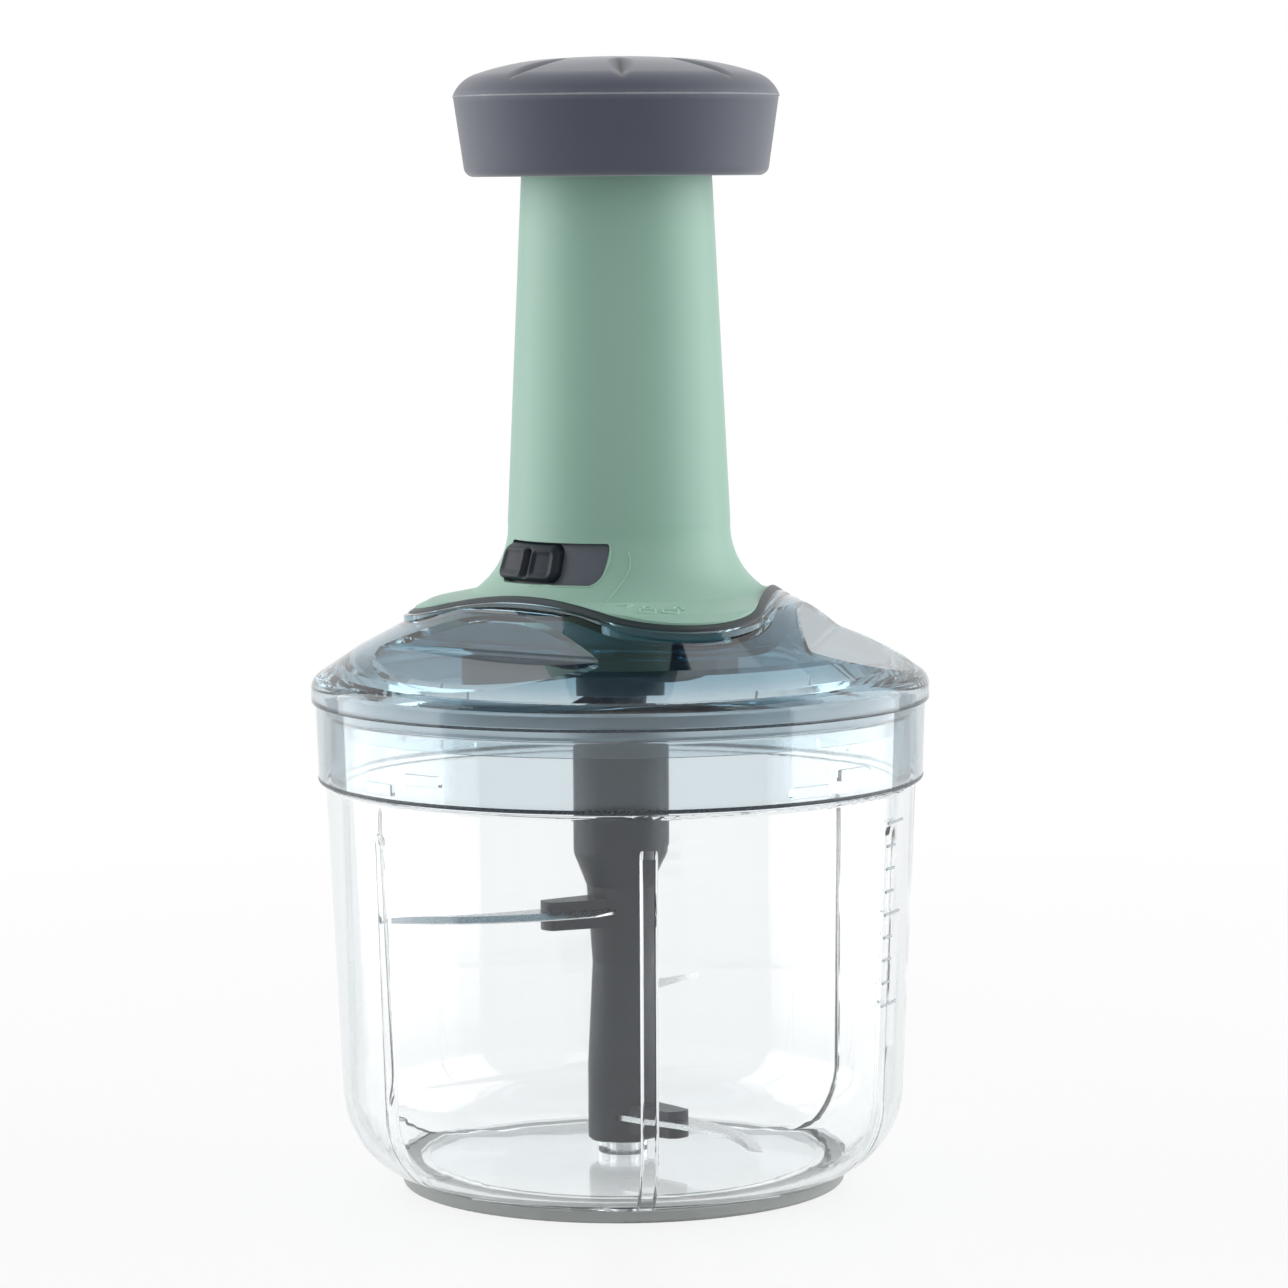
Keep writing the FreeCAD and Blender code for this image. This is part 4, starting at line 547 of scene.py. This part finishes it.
# %% Model the crown
CROWN_STEPS = 384
RING_STEP = 0.5 * MM
SHOULDER_RADIUS, SHOULDER_RINGS = 34.0 * MM, 12
PLAIN_TURN = -60.0
SEAM_CLEARANCE = 0.05 * MM
GROOVE_DEPTH, GROOVE_HALF_WIDTH, GROOVE_POINT = 1.6 * MM, 2.9 * MM, 1.4
cover_skin = skin_of("knob_cover")


def crown_profile():
    """Radius and height of the plain dome, from its middle to its lower edge."""
    profile = []
    for ring in range(1, int(SHOULDER_RADIUS / RING_STEP) + 1):
        profile.append((ring * RING_STEP, height_at(cover_skin, PLAIN_TURN, ring * RING_STEP)))
    fall = profile[-1][1] - SEAM_HEIGHT
    for ring in range(1, SHOULDER_RINGS):
        height = SEAM_HEIGHT + fall * (1 - ring / SHOULDER_RINGS)
        profile.append((radius_at(cover_skin, PLAIN_TURN, height), height))
    return profile + [(radius_at(cover_skin, PLAIN_TURN, SEAM_HEIGHT + SEAM_CLEARANCE), SEAM_HEIGHT)]


def groove_fall(radius, turn):
    """How far a groove sinks the dome at a point, as a V-edged wheel would cut it."""
    middle, reach = (GROOVE_START + GROOVE_END) / 2, (GROOVE_END - GROOVE_START) / 2
    cut = 1 - ((radius - middle) / reach) ** 2
    if cut <= 0:
        return 0.0
    turn = (turn + GROOVE_STEP / 2) % GROOVE_STEP - GROOVE_STEP / 2
    aside = abs(turn) * radius / (GROOVE_HALF_WIDTH * math.sqrt(cut))
    return GROOVE_DEPTH * cut * max(1 - aside, 0.0) ** GROOVE_POINT


def crown_mesh():
    drawing = bmesh.new()
    rings = []
    for radius, height in crown_profile():
        ring = []
        for step in range(CROWN_STEPS):
            turn = math.tau * step / CROWN_STEPS
            place = outward(math.degrees(FRONT_GROOVE + turn)) * radius
            place.z = height - groove_fall(radius, turn)
            ring.append(drawing.verts.new(place))
        rings.append(ring)
    top = drawing.verts.new((0.0, 0.0, rings[0][0].co.z))
    foot = drawing.verts.new((0.0, 0.0, SEAM_HEIGHT))
    for step in range(CROWN_STEPS):
        after = (step + 1) % CROWN_STEPS
        drawing.faces.new((top, rings[0][step], rings[0][after])).smooth = True
        drawing.faces.new((foot, rings[-1][after], rings[-1][step]))
        for inner, outer in zip(rings, rings[1:]):
            drawing.faces.new((inner[step], outer[step], outer[after], inner[after])).smooth = True
    return kept_mesh("grooved_crown", drawing, slate_grip)


crown = new_object("grooved_crown", crown_mesh())
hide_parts("knob_cover")
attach(crown, "plunger")
print("grooved_crown has", len(crown.data.polygons), "faces")

# %% [markdown]
# # Measuring marks on the bowl
# The right side of the bowl has a ladder of raised marks, a long one at every fourth step. They are moulded
# in the same clear plastic, with a frosted face that makes them readable. One mark is an arc swept with a
# round profile. A line of points up the wall carries copies of it, and because the wall leans outwards,
# each copy is scaled to the wall's radius at its own height.

# %% Grow the measuring marks
frosted_mark = silicone("frosted_mark_plastic", (0.66, 0.71, 0.74), (0.74, 0.79, 0.81), 0.5, 0.35)
MARK_TURN = -27.5
MARK_LOW, MARK_STEP, MARK_COUNT = 43 * MM, 5 * MM, 9
MARK_HIGH = MARK_LOW + MARK_STEP * (MARK_COUNT - 1)
LONG_EVERY = 4
MARKS = {"Low radius": radius_at(bowl_skin, MARK_TURN, MARK_LOW),
         "High radius": radius_at(bowl_skin, MARK_TURN, MARK_HIGH),
         "Low height": MARK_LOW, "High height": MARK_HIGH, "Step": MARK_STEP, "Count": MARK_COUNT,
         "Start turn": math.radians(MARK_TURN), "Short sweep": math.radians(3.6),
         "Long sweep": math.radians(7.5), "Thickness": 0.34 * MM}
tree, sizes = new_tree("measuring_marks", MARKS)
posts = add(tree, "GeometryNodeMeshLine", Count=sizes["Count"],
            Start_Location=combine(tree, z=sizes["Low height"]), Offset=combine(tree, z=sizes["Step"]))
height = axes_of(tree, tree.nodes.new("GeometryNodeInputPosition").outputs[0])["Z"]
wall = ramp(tree, height, sizes["Low height"], sizes["High height"], sizes["Low radius"],
            sizes["High radius"], "LINEAR")
ratio = calculated(tree, "DIVIDE", wall, sizes["Low radius"])
lean = combine(tree, x=ratio, y=ratio, z=1.0)
beat = calculated(tree, "MODULO", tree.nodes.new("GeometryNodeInputIndex").outputs[0], LONG_EVERY)
marks = []
for chosen, sweep in (("GREATER_THAN", "Short sweep"), ("LESS_THAN", "Long sweep")):
    arc = add(tree, "GeometryNodeCurveArc", Radius=sizes["Low radius"], Start_Angle=sizes["Start turn"],
              Sweep_Angle=sizes[sweep]).outputs["Curve"]
    copies = add(tree, "GeometryNodeInstanceOnPoints", Points=posts.outputs[0], Scale=lean,
                 Selection=calculated(tree, chosen, beat, 0.5),
                 Instance=swept(tree, arc, sizes["Thickness"], Fill_Caps=True))
    marks.append(copies.outputs[0])
measuring_marks = grow("measuring_marks", tree, MARKS, joined(tree, *marks), frosted_mark)
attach(measuring_marks, "bowl")

# %% [markdown]
# # Relief on the foot of the column
# The mould leaves a fine raised line beside the lock's window, a thin edge round the window itself, and
# small signs on the foot that say which way to turn: an arrow, a closed lock and an open one. They are mint
# on mint, a shade paler as a painted highlight, so only their edges show. Strokes are drawn in plain
# millimetres, cut into short runs, laid on the skin and given a round section.

# %% Draw the relief
RUN_LENGTH = 0.6 * MM
FOOT_TOP = 131.0
LOCK_WIDTH, LOCK_BODY, SHACKLE_RISE, SHACKLE_INSET = 3.4, 2.8, 2.2, 0.7
SLOT_LINE = [(2.0, -24.9, 141.7), (2.5, -25.4, 140.0), (2.3, -26.1, 138.3), (1.5, -27.2, 136.5),
             (0.1, -28.7, 134.7), (-1.3, -30.3, 133.0), (-2.6, -31.9, 131.7), (-3.8, -34.4, 131.0)]
WINDOW_EDGE = [(-1.9, -24.5, 143.3), (-1.75, -24.9, 141.9), (-1.85, -25.4, 140.2), (-2.4, -26.0, 138.6),
               (-3.3, -26.9, 136.8), (-4.5, -27.8, 135.4), (-5.8, -28.3, 134.6), (-7.6, -28.0, 134.3),
               (-12.7, -26.0, 134.3), (-19.2, -21.7, 134.3)]


def on_foot(points):
    return [(x, y, FOOT_TOP) for x, y in points]


def lock_sign(left, low, shackle_left):
    """A padlock in outline: a square body and a bent shackle that may stand to one side."""
    right, top = left + LOCK_WIDTH, low + LOCK_BODY
    outline = [(left, low), (right, low), (right, top), (left, top), (left, low)]
    a, b = shackle_left + SHACKLE_INSET, shackle_left + LOCK_WIDTH - SHACKLE_INSET
    shackle = [(a, top), (a, top + SHACKLE_RISE * 0.6), (a + 0.5, top + SHACKLE_RISE),
               (b - 0.5, top + SHACKLE_RISE), (b, top + SHACKLE_RISE * 0.6), (b, top)]
    return [on_foot(outline), on_foot(shackle)]


SIGNS = ([on_foot([(-1.0, -34.6), (2.9, -34.6)]), on_foot([(1.6, -33.2), (3.0, -34.6), (1.6, -36.0)])]
         + lock_sign(4.4, -40.4, 4.4) + lock_sign(9.3, -40.0, 11.0))


def laid(stroke, skin):
    """The stroke's points on the skin, with more of them on each run."""
    points = [Vector(point) * MM for point in stroke]
    found = []
    for start, end in zip(points, points[1:]):
        steps = max(1, math.ceil((end - start).length / RUN_LENGTH))
        found += [start.lerp(end, step / steps) for step in range(steps)]
    return [skin.find_nearest(point)[0] for point in found + points[-1:]]


def relief(name, strokes, skin, radius, material):
    lines = bpy.data.curves.new(name + "_lines", "CURVE")
    lines.dimensions = "3D"
    lines.bevel_depth = radius
    lines.bevel_resolution = 2
    lines.use_fill_caps = True
    for stroke in strokes:
        points = laid(stroke, skin)
        spline = lines.splines.new("POLY")
        spline.points.add(len(points) - 1)
        for slot, point in zip(spline.points, points):
            slot.co = (*point, 1.0)
    drawn = new_object(name + "_lines", lines)
    mesh = plain_mesh(drawn)
    bpy.data.objects.remove(drawn)
    mesh.materials.clear()
    mesh.materials.append(material)
    print(name, "has", len(strokes), "strokes and", len(mesh.polygons), "faces")
    return new_object(name, mesh)


# Both mints are paler than the column's: a painted highlight on the raised lines and signs.
highlight_edge_mint = satin_plastic("mint_edge_plastic", (0.32, 0.54, 0.43), (0.35, 0.57, 0.46), 0.40)
highlight_relief_mint = satin_plastic("mint_relief_plastic", (0.37, 0.60, 0.49), (0.41, 0.64, 0.53), 0.40)
SIGN_RADIUS, LINE_RADIUS = 0.30 * MM, 0.17 * MM
foot_relief = relief("foot_relief", SIGNS, column_skin, SIGN_RADIUS, highlight_relief_mint)
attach(foot_relief, "lid")
window_lines = relief("window_lines", [SLOT_LINE, WINDOW_EDGE], column_skin, LINE_RADIUS, highlight_edge_mint)
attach(window_lines, "lid")

# %% [markdown]
# # Screws
# Three screws hold the drive housing under the lid, and three hold the knob on its tube. A real one is
# turned with a round head, has a thread and a cross recess. Its outline is spun into a body once, in mesh
# code. The tree cuts the recess, then copies the screw to three points of a circle. These pieces stand for
# the plain screws of the model, and have the same heads and lengths.

# %% Turn one screw and copy it
SCREW_SEGMENTS = 28
THREAD_PITCH, THREAD_DEPTH = 0.7 * MM, 0.16 * MM
HEAD_RADIUS, HEAD_HEIGHT, SHANK_RADIUS = 2.9 * MM, 1.8 * MM, 1.5 * MM
RECESS = {"Recess length": 3.1 * MM, "Recess width": 0.75 * MM, "Recess depth": 1.1 * MM}
SAME_POINT = 0.002 * MM


def turned_screw(name, length):
    """A screw that stands on its head at the origin, with its thread pointing up."""
    outline = [(0.0, 0.0), (HEAD_RADIUS * 0.55, 0.04 * MM), (HEAD_RADIUS * 0.86, 0.3 * MM),
               (HEAD_RADIUS, 0.9 * MM), (HEAD_RADIUS, HEAD_HEIGHT), (SHANK_RADIUS, HEAD_HEIGHT)]
    height = HEAD_HEIGHT + THREAD_PITCH
    while height + THREAD_PITCH < length - SHANK_RADIUS:
        outline += [(SHANK_RADIUS, height), (SHANK_RADIUS - THREAD_DEPTH, height + THREAD_PITCH / 2)]
        height += THREAD_PITCH
    outline += [(SHANK_RADIUS, height), (SHANK_RADIUS * 0.5, length), (0.0, length)]
    drawing = bmesh.new()
    corners = [drawing.verts.new((radius, 0.0, z)) for radius, z in outline]
    edges = [drawing.edges.new(pair) for pair in zip(corners, corners[1:])]
    bmesh.ops.spin(drawing, geom=corners + edges, cent=(0, 0, 0), axis=(0, 0, 1), angle=math.tau,
                   steps=SCREW_SEGMENTS, use_duplicate=False)
    bmesh.ops.remove_doubles(drawing, verts=drawing.verts, dist=SAME_POINT)
    return new_object(name, kept_mesh(name, drawing))


def screw_set(name, node, circle, first_turn):
    """Copies of a screw that fill the place of a node of screws."""
    low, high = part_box(node)
    pattern = turned_screw(name + "_pattern", high[2] - low[2])
    numbers = {"Circle": circle, "First turn": math.radians(first_turn), "Count": 3, "Height": low[2],
               **RECESS}
    tree, sizes = new_tree(name, numbers)
    turned = add(tree, "GeometryNodeObjectInfo", Object=pattern)
    deep = calculated(tree, "MULTIPLY", sizes["Recess depth"], 2.0)
    cut = add(tree, "GeometryNodeMeshBoolean", [("operation", "DIFFERENCE")])
    tree.links.new(turned.outputs["Geometry"], cut.inputs["Mesh 1"])
    for x, y in (("Recess length", "Recess width"), ("Recess width", "Recess length")):
        bar = add(tree, "GeometryNodeMeshCube", Size=combine(tree, x=sizes[x], y=sizes[y], z=deep))
        tree.links.new(bar.outputs["Mesh"], cut.inputs["Mesh 2"])
    circle_points = add(tree, "GeometryNodeMeshCircle", Vertices=sizes["Count"], Radius=sizes["Circle"])
    placed = add(tree, "GeometryNodeTransform", Geometry=circle_points.outputs["Mesh"],
                 Translation=combine(tree, z=sizes["Height"]), Rotation=combine(tree, z=sizes["First turn"]))
    copies = add(tree, "GeometryNodeInstanceOnPoints", Points=placed.outputs[0],
                 Instance=cut.outputs["Mesh"])
    piece = grow(name, tree, numbers, copies.outputs[0], turned_steel)
    bpy.data.objects.remove(pattern)
    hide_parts(node)
    return piece


housing_cross_screws = screw_set("housing_cross_screws", "housing_screws", circle=29.0 * MM,
                                 first_turn=52.0)
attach(housing_cross_screws, "lid")
knob_cross_screws = screw_set("knob_cross_screws", "knob_screws", circle=25.0 * MM, first_turn=30.0)
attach(knob_cross_screws, "plunger")

# %% [markdown]
# # The lip round the column's foot
# A smoky silicone lip fills the thin gap between the mint foot and the collar of the lid, and lies down on
# the collar. Its dark colour is painted shade: the dark band that follows the foot's lobes.
# Its path is measured: rays towards the axis find the foot's side at each turn, and rays from above find
# the collar's slope there. Each step of the way gets the same small closed section, and the sections are
# joined.

# %% Lay the lip
lid_skin = skin_of("lid")
# The lip's dark colour is painted shade along the foot's edge.
lip_shade_silicone = silicone("smoke_lip_silicone", (0.020, 0.038, 0.046), (0.034, 0.056, 0.068), 0.36, 0.45)
LIP_STEPS = 360
LIP_WIDTH = 1.7 * MM
FOOT_SIDE = 126 * MM
NEAR_SHARE, FAR_SHARE = 0.3, 0.9
LIP_SECTION = [(0.0, -0.5), (0.0, 0.42), (0.12, 0.55), (0.35, 0.46), (0.7, 0.34), (0.92, 0.22), (1.0, 0.0),
               (1.0, -0.5)]


def lip_ring(turn):
    """The section's points at one turn. The section holds (share of the width, mm above the collar)."""
    side = radius_at(column_skin, turn, FOOT_SIDE)
    near, far = [height_at(lid_skin, turn, side + LIP_WIDTH * share) for share in (NEAR_SHARE, FAR_SHARE)]
    slope = (far - near) / (FAR_SHARE - NEAR_SHARE)
    ring = []
    for share, rise in LIP_SECTION:
        point = outward(turn) * (side + LIP_WIDTH * share)
        point.z = near + slope * (share - NEAR_SHARE) + rise * MM
        ring.append(point)
    return ring


def foot_lip_mesh():
    drawing = bmesh.new()
    rings = [[drawing.verts.new(point) for point in lip_ring(360 * step / LIP_STEPS)]
             for step in range(LIP_STEPS)]
    for ring, following in zip(rings, rings[1:] + rings[:1]):
        for index in range(len(LIP_SECTION)):
            after = (index + 1) % len(LIP_SECTION)
            face = drawing.faces.new((ring[index], ring[after], following[after], following[index]))
            face.smooth = True
    return kept_mesh("column_foot_lip", drawing, lip_shade_silicone)


foot_shade_lip = new_object("column_foot_lip", foot_lip_mesh())
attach(foot_shade_lip, "lid")
print("column_foot_lip has", len(foot_shade_lip.data.polygons), "faces")

# %% [markdown]
# # Two moulded edges of the lid
# The lower corners of the lid's flange and of its skirt are sharp inside corners, and light that enters
# them hardly leaves again. Each shows as a dark line right round the lid. A slim smoke-tinted bead in each
# corner stands for that. Both follow a plain circle, so one tree grows them, and only its numbers differ.

# %% Grow the two edge beads
smoke_edge = silicone("smoke_edge_plastic", (0.055, 0.075, 0.090), (0.075, 0.098, 0.115), 0.25, 0.3)


def ring_bead(name, radius, height, thickness):
    numbers = {"Ring radius": radius, "Bead radius": thickness, "Height": height, "Ring steps": 256}
    tree, sizes = new_tree(name, numbers)
    bead = swept(tree, raised_ring(tree, sizes), sizes["Bead radius"])
    return grow(name, tree, numbers, bead, smoke_edge)


SKIRT_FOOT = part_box("lid")[0][2]
FLANGE_FOOT = 107.8 * MM
flange_bead = ring_bead("lid_flange_edge", radius=67.75 * MM, height=FLANGE_FOOT, thickness=0.34 * MM)
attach(flange_bead, "lid")
skirt_bead = ring_bead("lid_skirt_edge", radius=66.45 * MM, height=SKIRT_FOOT + 0.45 * MM,
                       thickness=0.42 * MM)
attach(skirt_bead, "lid")

# %% [markdown]
# # The thumb slider
# The lock is moved by a small slider in the column's window. It is moulded soft and round: a rounded
# rectangle with two shallow thumb pads and a valley between them. It is drawn as a sheet of points over the
# turn and the height, and one formula gives each point's rise above the lock's ring: a rounded edge, less
# the hollows, less the valley. Outside the edge the sheet dives under the ring, so no gap shows. It stands
# for the plain button of the model.

# %% Model the slider
BUTTON_LOW, BUTTON_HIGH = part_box("lock_button")[0][2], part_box("lock_button")[1][2]
SLIDER_TURNS = (-160.0, -118.8)
VALLEY_TURN = -137.3
SLIDER_RISE, SLIDER_SINK = 2.65 * MM, 0.35 * MM
SLIDER_CORNER, SLIDER_ROUND = 2.5 * MM, 1.5 * MM
PAD_INSET, PAD_DEPTH = 1.5 * MM, 0.6 * MM
VALLEY_DEPTH, VALLEY_WIDTH = 1.5 * MM, 0.8 * MM
SLIDER_COLUMNS, SLIDER_ROWS = 120, 48
ring_skin = skin_of("lock_ring")
RING_TURN, RING_INSET = -130.0, 0.4 * MM
RING_LOW_RADIUS = radius_at(ring_skin, RING_TURN, BUTTON_LOW + RING_INSET)
RING_HIGH_RADIUS = radius_at(ring_skin, RING_TURN, BUTTON_HIGH - RING_INSET)
SLIDER_REACH = (RING_LOW_RADIUS + RING_HIGH_RADIUS) / 2 + SLIDER_RISE


def inside(s, t, half_width, half_height, corner):
    """How deep a point lies inside a rounded rectangle. Outside it, the depth is negative."""
    x, y = abs(s) - (half_width - corner), abs(t) - (half_height - corner)
    return corner - math.hypot(max(x, 0.0), max(y, 0.0)) - min(max(x, y), 0.0)


def eased(value):
    value = min(max(value, 0.0), 1.0)
    return value * value * (3 - 2 * value)


def slider_rise(s, t, half_width, half_height, valley):
    """The slider's height above the ring, at s along the turn and t up from its middle."""
    depth = inside(s, t, half_width, half_height, SLIDER_CORNER)
    edge = min(max(depth / SLIDER_ROUND, 0.0), 1.0)
    rise = (SLIDER_RISE + SLIDER_SINK) * math.sqrt(1 - (1 - edge) ** 2) - SLIDER_SINK
    for start, end in ((-half_width, valley), (valley, half_width)):
        pad = inside(s - (start + end) / 2, t, (end - start) / 2 - PAD_INSET / 2,
                     half_height - PAD_INSET / 2, SLIDER_CORNER * 0.8)
        rise -= PAD_DEPTH * eased(pad / PAD_INSET - 0.3)
    crossing = math.exp(-((s - valley) / VALLEY_WIDTH) ** 2)
    return rise - VALLEY_DEPTH * crossing * eased(depth / SLIDER_ROUND - 0.4)


def slider_points(layer):
    """Rows of points over the turn and the height, on the slider's front or sunk under the ring."""
    first, last = SLIDER_TURNS
    half_width = math.radians(last - first) / 2 * SLIDER_REACH
    half_height = (BUTTON_HIGH - BUTTON_LOW) / 2
    valley = math.radians(VALLEY_TURN - (first + last) / 2) * SLIDER_REACH
    points = []
    for row in range(SLIDER_ROWS + 1):
        up = row / SLIDER_ROWS
        ring = RING_LOW_RADIUS + (RING_HIGH_RADIUS - RING_LOW_RADIUS) * up
        for column in range(SLIDER_COLUMNS + 1):
            across = column / SLIDER_COLUMNS
            rise = slider_rise(half_width * (2 * across - 1), half_height * (2 * up - 1), half_width,
                               half_height, valley)
            point = outward(first + (last - first) * across) * (
                ring + (rise if layer == "front" else -2 * SLIDER_SINK))
            point.z = BUTTON_LOW + (BUTTON_HIGH - BUTTON_LOW) * up
            points.append(point)
    return points


def thumb_slider():
    drawing = bmesh.new()
    front, back = [[drawing.verts.new(point) for point in slider_points(layer)]
                   for layer in ("front", "back")]
    wide = SLIDER_COLUMNS + 1
    last_row = SLIDER_ROWS * wide
    for sheet in (front, back):
        for row in range(SLIDER_ROWS):
            for corner in range(row * wide, row * wide + SLIDER_COLUMNS):
                drawing.faces.new([sheet[corner + step] for step in (0, 1, wide + 1, wide)])
    border = (list(range(SLIDER_COLUMNS)) + list(range(SLIDER_COLUMNS, last_row, wide))
              + list(range(last_row + SLIDER_COLUMNS, last_row, -1)) + list(range(last_row, 0, -wide)))
    for start, end in zip(border, border[1:] + border[:1]):
        drawing.faces.new([front[start], front[end], back[end], back[start]])
    for face in drawing.faces:
        face.smooth = True
    mesh = kept_mesh("thumb_slider", drawing, button_plastic)
    print("thumb_slider has", len(mesh.polygons), "faces")
    return new_object("thumb_slider", mesh)


slider = thumb_slider()
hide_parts("lock_button")
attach(slider, "lock")

# %% [markdown]
# # Floor and backdrop
# The chopper stands on a white table in front of white paper. The floor is a wide disc that fades into the
# world behind it, so no horizon shows. Its material is partly light of its own for the camera, which keeps
# it near white, and partly a real diffuse surface, which keeps the soft shadow under the foot.

# %% Build the floor
FRONT_MIRROR, BACK_MIRROR = 0.30, 1.0
ROOM_FRONT, ROOM_BACK = -0.3, 0.6
FLOOR_RADIUS = 0.7
PAPER_LIGHT = 0.8
FADE_FROM, FADE_TO = 0.16, 0.55


def looked_at(tree):
    """1 for a ray from the camera or through glass, less for a mirrored one, 0 for one that carries light.

    The studio behind the chopper is bright and the room in front of it is dim, so a mirrored ray sees more
    light the further it runs towards +Y.
    """
    path = tree.nodes.new("ShaderNodeLightPath").outputs
    away = axes_of(tree, tree.nodes.new("ShaderNodeTexCoord").outputs["Generated"])["Y"]
    room = ramp(tree, away, ROOM_FRONT, ROOM_BACK, FRONT_MIRROR, BACK_MIRROR)
    mirrored = calculated(tree, "MULTIPLY", path["Is Glossy Ray"], room)
    through = calculated(tree, "MAXIMUM", path["Is Camera Ray"], path["Is Transmission Ray"])
    return calculated(tree, "MAXIMUM", through, mirrored)


drawing = bmesh.new()
bmesh.ops.create_circle(drawing, cap_ends=True, segments=96, radius=FLOOR_RADIUS)
floor_mesh = bpy.data.meshes.new("studio_floor")
drawing.to_mesh(floor_mesh)
drawing.free()
floor = new_object("studio_floor", floor_mesh)

floor_paper, tree, shader, place = new_material("studio_paper", (0.90, 0.90, 0.90), 0.35)
share = calculated(tree, "MULTIPLY", looked_at(tree), PAPER_LIGHT)
white = add(tree, "ShaderNodeEmission", Color=(1.0, 1.0, 1.0, 1.0), Strength=1.0)
distance = add(tree, "ShaderNodeVectorMath", [("operation", "LENGTH")])
tree.links.new(place, distance.inputs[0])
fade = ramp(tree, distance.outputs["Value"], FADE_FROM, FADE_TO, kind="LINEAR")
paper = mixed_shader(tree, share, shader, white)
clear = add(tree, "ShaderNodeBsdfTransparent")
tree.links.new(mixed_shader(tree, fade, paper, clear).outputs[0], surface_of(tree))
floor_mesh.materials.append(floor_paper)
print("floor: %.1f m across" % (2 * FLOOR_RADIUS))

# %% [markdown]
# # World and lamps
# The object is lit from both sides, as a packshot of something clear usually is: the column is brightest
# along its edges and darker down the middle. Two tall soft boxes do that, with a dim one above and another
# in front. The world is pure white where the camera or glass sees it. In a mirrored ray it is white behind
# the chopper and dim in front of it, so that edges shine and dark pieces inside the lid don't haze over. As
# a light it is dimmer still.

# %% Set the world
WORLD_LIGHT = 0.34
world = bpy.data.worlds.new("white_studio")
bpy.context.scene.world = world
world.use_nodes = True
tree = world.node_tree
tree.nodes.clear()
background = add(tree, "ShaderNodeBackground", Color=(1.0, 1.0, 1.0, 1.0),
                 Strength=spread(tree, looked_at(tree), WORLD_LIGHT, 1.0))
tree.links.new(background.outputs["Background"], tree.nodes.new("ShaderNodeOutputWorld").inputs["Surface"])
print("world light:", WORLD_LIGHT)

# %% Hang the lamps
AIM = Vector((0.0, 0.0, 0.14))
# Each box has its place, width, height and power.
SOFT_BOXES = {
    "left_soft_box": ((-1.25, 0.15, 0.4), 1.5, 1.8, 16.5),
    "right_soft_box": ((1.25, 0.1, 0.4), 1.5, 1.8, 17.5),
    "top_soft_box": ((0.0, 0.25, 1.2), 1.2, 1.0, 2.0),
    "front_soft_box": ((0.2, -1.5, 0.7), 1.1, 0.9, 2.0),
}
for name, (at, width, height, power) in SOFT_BOXES.items():
    lamp = bpy.data.lights.new(name, "AREA")
    lamp.shape = "RECTANGLE"
    lamp.size, lamp.size_y, lamp.energy = width, height, power
    turned = (AIM - Vector(at)).to_track_quat("-Z", "Y").to_matrix().to_4x4()
    new_object(name, lamp).matrix_world = Matrix.Translation(at) @ turned
print("lamps:", ", ".join(SOFT_BOXES))
